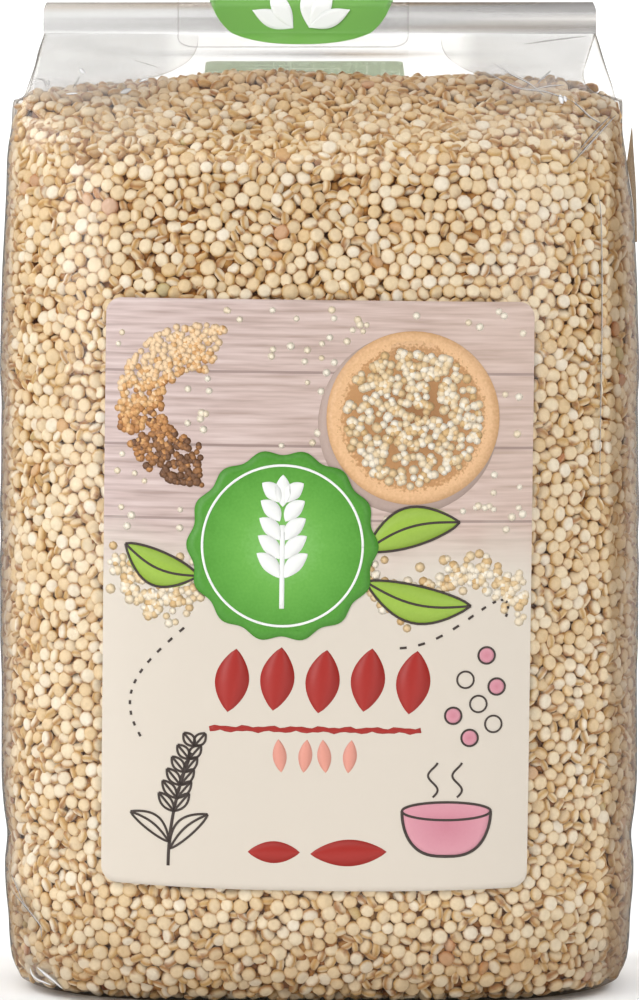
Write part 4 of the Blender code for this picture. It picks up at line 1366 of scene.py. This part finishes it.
badge_green = ink("badge_green_ink", (0.0, (0.26, 0.58, 0.16)), (0.45, (0.14, 0.42, 0.06)),
                  (1.0, (0.06, 0.27, 0.018)))
print_piece("print_badge", badge_green, [blot(*circle(*BADGE, BADGE_RADIUS, 168, 14, 0.03), 3, 10)])
white_ink = ink("white_ink", (0.0, (0.86, 0.87, 0.84)), (1.0, (0.92, 0.93, 0.90)))
ring_s, ring_t = circle(*BADGE, BADGE_RADIUS * 0.86, 97)
ear = [stroke(np.append(ring_s, ring_s[0]), np.append(ring_t, ring_t[0]), 0.35, 4)]
ear.append(stroke(np.full(12, BADGE[0]), BADGE[1] + np.linspace(-9.0, 3.0, 12), 0.7, 4))
for row in range(5):
    for side in (-1, 1):
        base, turn = BADGE[1] - 4.6 + row * 2.7, math.pi / 2 - side * 0.75
        ear.append(leaf(BADGE[0] + side * 0.4, base, 4.8 - 0.25 * row, 2.3, turn, 4, 0.08 * side))
ear.append(leaf(BADGE[0], BADGE[1] + 5.6, 4.6, 2.3, math.pi / 2, 4))
print_piece("print_badge_ear", white_ink, ear)

dark_red = ink("dark_red_ink", (0.0, (0.33, 0.012, 0.006)), (1.0, (0.42, 0.02, 0.012)))
big_seeds = []
for k in range(5):
    big_seeds.append(leaf(-12.6 + 6.5 * k, -17.0 + 0.3 * (k % 2), 9.2, 4.9, math.pi / 2 - 0.13, 0))
line_s = np.linspace(-15.2, 15.2, 40)
big_seeds.append(stroke(line_s, -19.4 + 0.12 * np.sin(line_s * 1.7), 0.75 + 0.2 * np.sin(line_s * 2.9), 0))
big_seeds.append(leaf(-0.5, -37.4, 11.0, 3.9, 0.04, 0))
big_seeds.append(leaf(-9.5, -37.2, 7.5, 3.2, 0.0, 0))
print_piece("print_red_seeds", dark_red, big_seeds)

pink = ink("pink_ink", (0.0, (0.70, 0.27, 0.20)), (1.0, (0.78, 0.36, 0.28)))
small_seeds = [leaf(-4.8 + 3.2 * k, -25.6, 4.8, 2.0, math.pi / 2 + 0.1 * (-1) ** k, 0) for k in range(4)]
print_piece("print_pink_seeds", pink, small_seeds)

# The pen drawings at the label's foot: a steaming bowl, an ear of grain, some loose seeds and two dashed
# trails.
PEN_BOWL = (19.0, -31.0)
PEN_BOWL_HALF = 6.4
rim_turn = np.linspace(0, 2 * math.pi, 49)
rim_s, rim_t = PEN_BOWL[0] + PEN_BOWL_HALF * np.cos(rim_turn), PEN_BOWL[1] + 1.3 * np.sin(rim_turn)
side_turn = np.linspace(math.pi, 2 * math.pi, 33)
side_s = PEN_BOWL[0] + PEN_BOWL_HALF * np.sign(np.cos(side_turn)) * np.abs(np.cos(side_turn)) ** 0.7
side_t = PEN_BOWL[1] + 6.6 * np.sin(side_turn)
rose = ink("rose_ink", (0.0, (0.60, 0.22, 0.28)), (1.0, (0.70, 0.32, 0.38)))
fill_s, fill_t = np.concatenate([side_s, rim_s[1:24]]), np.concatenate([side_t, rim_t[1:24]])
seed_rings = (
    (24.5, -8.5), (21.5, -12.0), (26.0, -13.0), (23.4, -15.5), (19.8, -17.2), (25.6, -18.4), (22.2, -20.4),
)
rosy = [blot(fill_s, fill_t, 0)] + [blot(*circle(s, t, 1.15, 20), 0, 2) for s, t in seed_rings[::2]]
print_piece("print_rose_fills", rose, rosy)

pen = [stroke(rim_s, rim_t, PEN, 1), stroke(side_s, side_t, PEN * 1.2, 1)]
for s, t in seed_rings:
    loop_s, loop_t = circle(s, t, 1.2, 25)
    pen.append(stroke(np.append(loop_s, loop_s[0]), np.append(loop_t, loop_t[0]), PEN * 0.8, 1))
for start in (17.0, 20.5):
    rise = np.linspace(0, 5.0, 20)
    pen.append(stroke(start + 0.7 * np.sin(rise * 1.5), -29.0 + rise, PEN * 0.9, 1))
STEM_FOOT = (-21.0, -39.5)
stem_t = np.linspace(STEM_FOOT[1], -23.0, 24)
stem_s = STEM_FOOT[0] + 0.012 * (stem_t - STEM_FOOT[1]) ** 2
pen.append(stroke(stem_s, stem_t, PEN * 1.3, 1))
for row in range(6):
    for side in (-1, 1):
        t = -31.5 + 1.9 * row
        s = STEM_FOOT[0] + 0.012 * (t - STEM_FOOT[1]) ** 2
        pen += leaf_lines(s, t, 3.4 - 0.2 * row, 1.5, math.pi / 2 - side * 0.7, 1)
pen += leaf_lines(-20.8, -37.0, 7.5, 2.6, 0.75, 1, 0.1)
pen += leaf_lines(-20.9, -36.0, 7.0, 2.4, 2.5, 1, -0.1)


def dashed(path_s, path_t, dash):
    """Short strokes along a path, one for every other stretch of it."""
    starts = range(0, len(path_s) - dash, 2 * dash)
    return [stroke(path_s[k:k + dash], path_t[k:k + dash], PEN, 1) for k in starts]


way = np.linspace(0, 1, 90)
pen += dashed(-19 - 6.5 * np.sin(way * 2.6) - 2 * way, -5.0 - 17.0 * way, 4)
pen += dashed(12 + 15.5 * np.sin(way * 1.9), -4.5 - 3.0 * np.cos(way * 5.0) + 1.5 * way, 4)
print_piece("print_pen_lines", dark_line, pen)


# The closure sticker is a strip of clear tape with a printed patch. It sticks to the front of the gable,
# runs over the folded top and down the back panel, and so holds the fold shut.
STICKER_LEFT = -21.0 * MM
STICKER_RIGHT = 13.2 * MM
STICKER_FRONT_Z = 139.0 * MM
STICKER_DROP_Z = 138.6 * MM
STICKER_BACK_Z = 132.5 * MM
STICKER_BACK_FACE = 0.18 * MM
STICKER_FRONT_FACE = 0.32 * MM
STICKER_CORNER = 2.6 * MM
FOLD_RISE = 0.7 * MM
FOLD_RUN = 0.4 * MM


def panel_depth(z):
    """How far the flat middle of a gable panel is from the pouch's middle plane at height z."""
    share = (z - SHOULDER_Z) / (BAND_Z - SHOULDER_Z)
    return BODY_HALF_DEPTHS[-1] * (1 - share) + BAND_HALF_DEPTH * share


tape_line = np.array([
    (-panel_depth(STICKER_FRONT_Z), STICKER_FRONT_Z),
    (-BAND_HALF_DEPTH, BAND_Z),
    (-BAND_HALF_DEPTH, TOP_Z - FOLD_RISE),
    (-BAND_HALF_DEPTH + FOLD_RUN, TOP_Z),
    (FLAP_DEPTH - FOLD_RUN, TOP_Z),
    (FLAP_DEPTH, TOP_Z - FOLD_RISE),
    (FLAP_DEPTH, BAND_Z),
    (panel_depth(STICKER_DROP_Z), STICKER_DROP_Z),
    (panel_depth(STICKER_BACK_Z), STICKER_BACK_Z),
])
tape_steps = np.diff(tape_line, axis=0)
tape_walk = np.concatenate([[0], np.cumsum(np.linalg.norm(tape_steps, axis=1))])
tape_sides = np.stack([-tape_steps[:, 1], tape_steps[:, 0]], -1) / np.linalg.norm(tape_steps, axis=1)[:, None]
side_before = np.vstack([tape_sides[:1], tape_sides])
side_after = np.vstack([tape_sides, tape_sides[-1:]])
tape_corner = (side_before + side_after) / (1 + np.sum(side_before * side_after, axis=1))[:, None]


def on_tape(x, walk, lift):
    """A spot of the strip: x across, and a distance walked from its front edge, over the fold and down
    behind. The strip's line is moved out by the lift, with its corners kept."""
    y = np.interp(walk, tape_walk, tape_line[:, 0]) + np.interp(walk, tape_walk, tape_corner[:, 0]) * lift
    z = np.interp(walk, tape_walk, tape_line[:, 1]) + np.interp(walk, tape_walk, tape_corner[:, 1]) * lift
    return np.stack([x + AXIS_X, y + AXIS_Y, z], -1)


def tape_finish():
    """Clear tape: see-through and a little grey, with a hard gloss."""
    finish, tree = empty_finish("clear_tape")
    body = part_milky(tree, 0.002, (1, 1, 1, 1), (0.8, 0.8, 0.8, 1))
    gloss = add(tree, "BsdfGlossy", {"Color": (1, 1, 1, 1), "Roughness": 0.12}).outputs[0]
    surface = add(tree, "MixShader", {0: schlick(tree, 0.5), 1: body, 2: gloss}).outputs[0]
    return finished(finish, tree, surface)


tape_across, tape_cut = rounded_columns((STICKER_RIGHT - STICKER_LEFT) / 2, STICKER_CORNER, 24)
tape_rows = np.unique(np.concatenate([np.linspace(0, 1, 40), tape_walk / tape_walk[-1]]))[:, None]
tape_distance = tape_cut + (tape_walk[-1] - tape_cut) * tape_rows
tape_x = tape_across + (STICKER_RIGHT + STICKER_LEFT) / 2 + 0 * tape_distance


def tape_sheet(x, walk, back, front):
    """A thin sheet on the strip, between two heights over the film."""
    points, faces = closed_sheet(on_tape(x, walk, back), on_tape(x, walk, front))
    return points, [faces]


tape_points, tape_faces = tape_sheet(tape_x, tape_distance, STICKER_BACK_FACE, STICKER_FRONT_FACE)
tape = make_piece("tape_strip", tape_points, tape_faces, tape_finish())
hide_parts("closure_sticker")


# The strip's edge is cut clean and catches little light. Painted shade shows it as a thin dark line all round
# the front, made as a sheet as thin as ink along the strip's outline.
RIM_BREADTH = 0.14 * MM


def strip_outline(inset):
    """The strip's edge on the front: down its left side from the fold, round the corners and up its right
    side."""
    left, right, corner = STICKER_LEFT + inset, STICKER_RIGHT - inset, STICKER_CORNER - inset
    bend = corner * (1 - np.cos(np.linspace(0, math.pi / 2, 13)))
    down = np.unique(np.append(np.linspace(STICKER_CORNER, tape_walk[3], 24), tape_walk[1:3]))[::-1]
    x = np.concatenate([left + 0 * down, left + bend, right - bend[::-1], right + 0 * down])
    walk = np.concatenate([down, inset + bend[::-1], inset + bend, down[::-1]])
    return x, walk


def rim_finish():
    """See-through, and a fifth dimmer than clear: painted shade along the strip's edge."""
    finish, tree = empty_finish("tape_edge_shade")
    surface = add(tree, "BsdfTransparent", {"Color": (0.80, 0.79, 0.78, 1)}).outputs[0]
    return finished(finish, tree, surface)


rim_x, rim_walk = np.stack([strip_outline(0), strip_outline(RIM_BREADTH)], 1)
rim_points, rim_faces = tape_sheet(rim_x, rim_walk, STICKER_FRONT_FACE + INK, STICKER_FRONT_FACE + 2 * INK)
make_piece("tape_edge_shade", rim_points, rim_faces, rim_finish())


# The print on the strip is a green patch over the fold and its other end down the back, where it shows
# through film and strip as a paler strip. A fan of white leaves lies on the front patch.
def tape_patch(name, left, right, bottom, top, corner, finish, level):
    """A printed patch on the strip, with rounded ends: its lower edge is an ellipse's, and it ends square
    above."""
    x = np.linspace(-1, 1, 49)
    round_edge = 1 - np.sqrt(np.clip(1 - np.abs(x) ** corner, 0, 1))
    start = bottom + (top - bottom) * 0.98 * round_edge
    walk = start + (top - start) * np.linspace(0, 1, 30)[:, None]
    across = (left + right) / 2 + (right - left) / 2 * x + 0 * walk
    back = STICKER_FRONT_FACE + INK * 2 * level
    points, faces = tape_sheet(across, walk, back, back + INK)
    tone = np.tile((x**2 + 0 * walk).ravel(), 2)
    return make_piece(name, points, faces, finish, {"tone": tone})


tape_green = ink("tape_green", (0.0, (0.17, 0.41, 0.076)), (1.0, (0.15, 0.38, 0.07)))


def back_patch_finish():
    """The same ink seen from its back, through the strip: thin enough for the daylight behind to shine
    through."""
    finish, tree = empty_finish("tape_grey_green")
    return finished(finish, tree, part_milky(tree, 0.12, (0.66, 0.71, 0.61, 1), (0.17, 0.40, 0.08, 1)))


tape_patch("tape_green_front", -16.4 * MM, 11.0 * MM, 0.75 * MM, tape_walk[4] - 0.2 * MM, 2.4, tape_green, 0)
tape_patch("tape_green_back", -17.8 * MM, 13.0 * MM, tape_walk[-1] - 7.6 * MM, tape_walk[-1] - 0.8 * MM, 60.0,
           back_patch_finish(), 0)


def tape_leaf(x, walk, length, width, angle, level):
    """A pointed leaf on the strip: a sheet along a straight line, as wide as a sine's arch."""
    along, side = np.meshgrid(np.linspace(0, 1, 21), np.linspace(-0.5, 0.5, 5), indexing="ij")
    spread = side * width * np.sin(math.pi * np.clip(along, 0.01, 0.99))
    across = x + length * along * math.cos(angle) + spread * math.sin(angle)
    down = walk + length * along * math.sin(angle) - spread * math.cos(angle)
    back = STICKER_FRONT_FACE + 2 * level * INK
    points, faces = tape_sheet(across, down, back, back + INK)
    return points, faces, np.full(len(points), 0.5)


LEAF_FAN = ((-1, 1.15, 1), (-1, 0.55, 2), (1, 0.0, 3), (1, 0.55, 4), (1, 1.15, 5))
FAN_MIDDLE = -2.7 * MM
fan = [tape_leaf(FAN_MIDDLE + side * 1.2 * MM, 4.4 * MM, 6.6 * MM, 2.7 * MM, math.pi / 2 - side * turn, level)
       for side, turn, level in LEAF_FAN]
print_piece("tape_white_leaves", white_ink, fan)


# The studio: the pack stands on a pale sheet of card that curves up behind it, between soft boxes on both
# sides and one above the front. Two more boxes light the card's wall.
def card_finish():
    """White card on its front. Its back is see-through, so that the bag can be looked at from behind too."""
    finish, tree = empty_finish("studio_card")
    front = add(tree, "BsdfPrincipled", {"Base Color": (0.93, 0.93, 0.93, 1), "Roughness": 0.8}).outputs[0]
    behind = add(tree, "NewGeometry").outputs["Backfacing"]
    clear = add(tree, "BsdfTransparent", {"Color": (1, 1, 1, 1)}).outputs[0]
    surface = add(tree, "MixShader", {0: behind, 1: front, 2: clear}).outputs[0]
    return finished(finish, tree, surface)


def studio_card():
    """The card: a profile that runs back along the floor, up a quarter circle and up a wall, drawn out
    sideways."""
    turn = np.linspace(0, math.pi / 2, 24)
    front, bend, radius = -2.5, 0.6, 0.5
    profile = [(front, 0.0), (bend, 0.0)]
    profile += [(bend + radius * math.sin(t), radius * (1 - math.cos(t))) for t in turn[1:]]
    profile += [(bend + radius, 2.6)]
    profile = np.array(profile)
    wide = np.array([-3.0, 3.0])
    x = np.broadcast_to(wide, (len(profile), 2))
    y = np.broadcast_to(profile[:, :1], x.shape)
    z = np.broadcast_to(profile[:, 1:] - 0.0002, x.shape)
    mesh = bpy.data.meshes.new("studio_card")
    points = np.stack([x, y, z], -1).reshape(-1, 3)
    mesh.from_pydata(points.tolist(), [], grid_faces(len(profile), 2, wrap=False).tolist())
    mesh.shade_smooth()
    mesh.materials.append(card_finish())
    made = bpy.data.objects.new("studio_card", mesh)
    bpy.context.scene.collection.objects.link(made)


studio_card()


def soft_box(name, place, aim, size, power):
    """A rectangular lamp at a place, turned to face the aim."""
    lamp = bpy.data.lights.new(name, "AREA")
    lamp.shape = "RECTANGLE"
    lamp.size, lamp.size_y = size
    lamp.energy = power
    made = bpy.data.objects.new(name, lamp)
    made.location = place
    made.rotation_euler = (Vector(aim) - Vector(place)).to_track_quat("-Z", "Y").to_euler()
    bpy.context.scene.collection.objects.link(made)


pack_middle, wall_middle = (0, 0, 0.07), (0, 1.1, 0.5)
soft_box("left_light", (-0.78, -0.62, 0.42), pack_middle, (0.45, 0.8), 5.4)
soft_box("right_light", (0.62, -0.80, 0.46), pack_middle, (0.45, 0.8), 3.0)
soft_box("front_light", (-0.15, -0.85, 1.25), pack_middle, (0.9, 0.5), 4.3)
soft_box("wall_light_left", (-0.9, 0.30, 0.9), wall_middle, (0.8, 0.8), 12.0)
soft_box("wall_light_right", (0.9, 0.30, 0.9), wall_middle, (0.8, 0.8), 12.0)

air = bpy.data.worlds.new("studio_air")
air.use_nodes = True
air_light = air.node_tree.nodes["Background"].inputs
air_light["Color"].default_value = (1, 1, 1, 1)
air_light["Strength"].default_value = 0.16
studio = bpy.context.scene
studio.world = air
studio.view_settings.view_transform = "Standard"
studio.cycles.transparent_max_bounces = 12
studio.cycles.max_bounces = 6
studio.cycles.diffuse_bounces = 3
studio.cycles.glossy_bounces = 2

CAMERA_AZIMUTH = math.radians(-0.8)
CAMERA_ELEVATION = math.radians(4.0)
CAMERA_DISTANCE = 0.70
PIXELS_PER_DISTANCE = 4686.0
PHOTO_HEIGHT = 1000
aim = Vector((0, 0, 0.072))
back = Vector((
    -math.sin(CAMERA_AZIMUTH) * math.cos(CAMERA_ELEVATION),
    -math.cos(CAMERA_AZIMUTH) * math.cos(CAMERA_ELEVATION),
    math.sin(CAMERA_ELEVATION),
))
camera = bpy.data.objects.new("camera", bpy.data.cameras.new("camera"))
camera.data.lens = PIXELS_PER_DISTANCE / PHOTO_HEIGHT * camera.data.sensor_width
camera.data.clip_start = 0.01
camera.location = aim + back * CAMERA_DISTANCE
camera.rotation_euler = (-back).to_track_quat("-Z", "Y").to_euler()
bpy.context.scene.collection.objects.link(camera)
bpy.context.scene.camera = camera
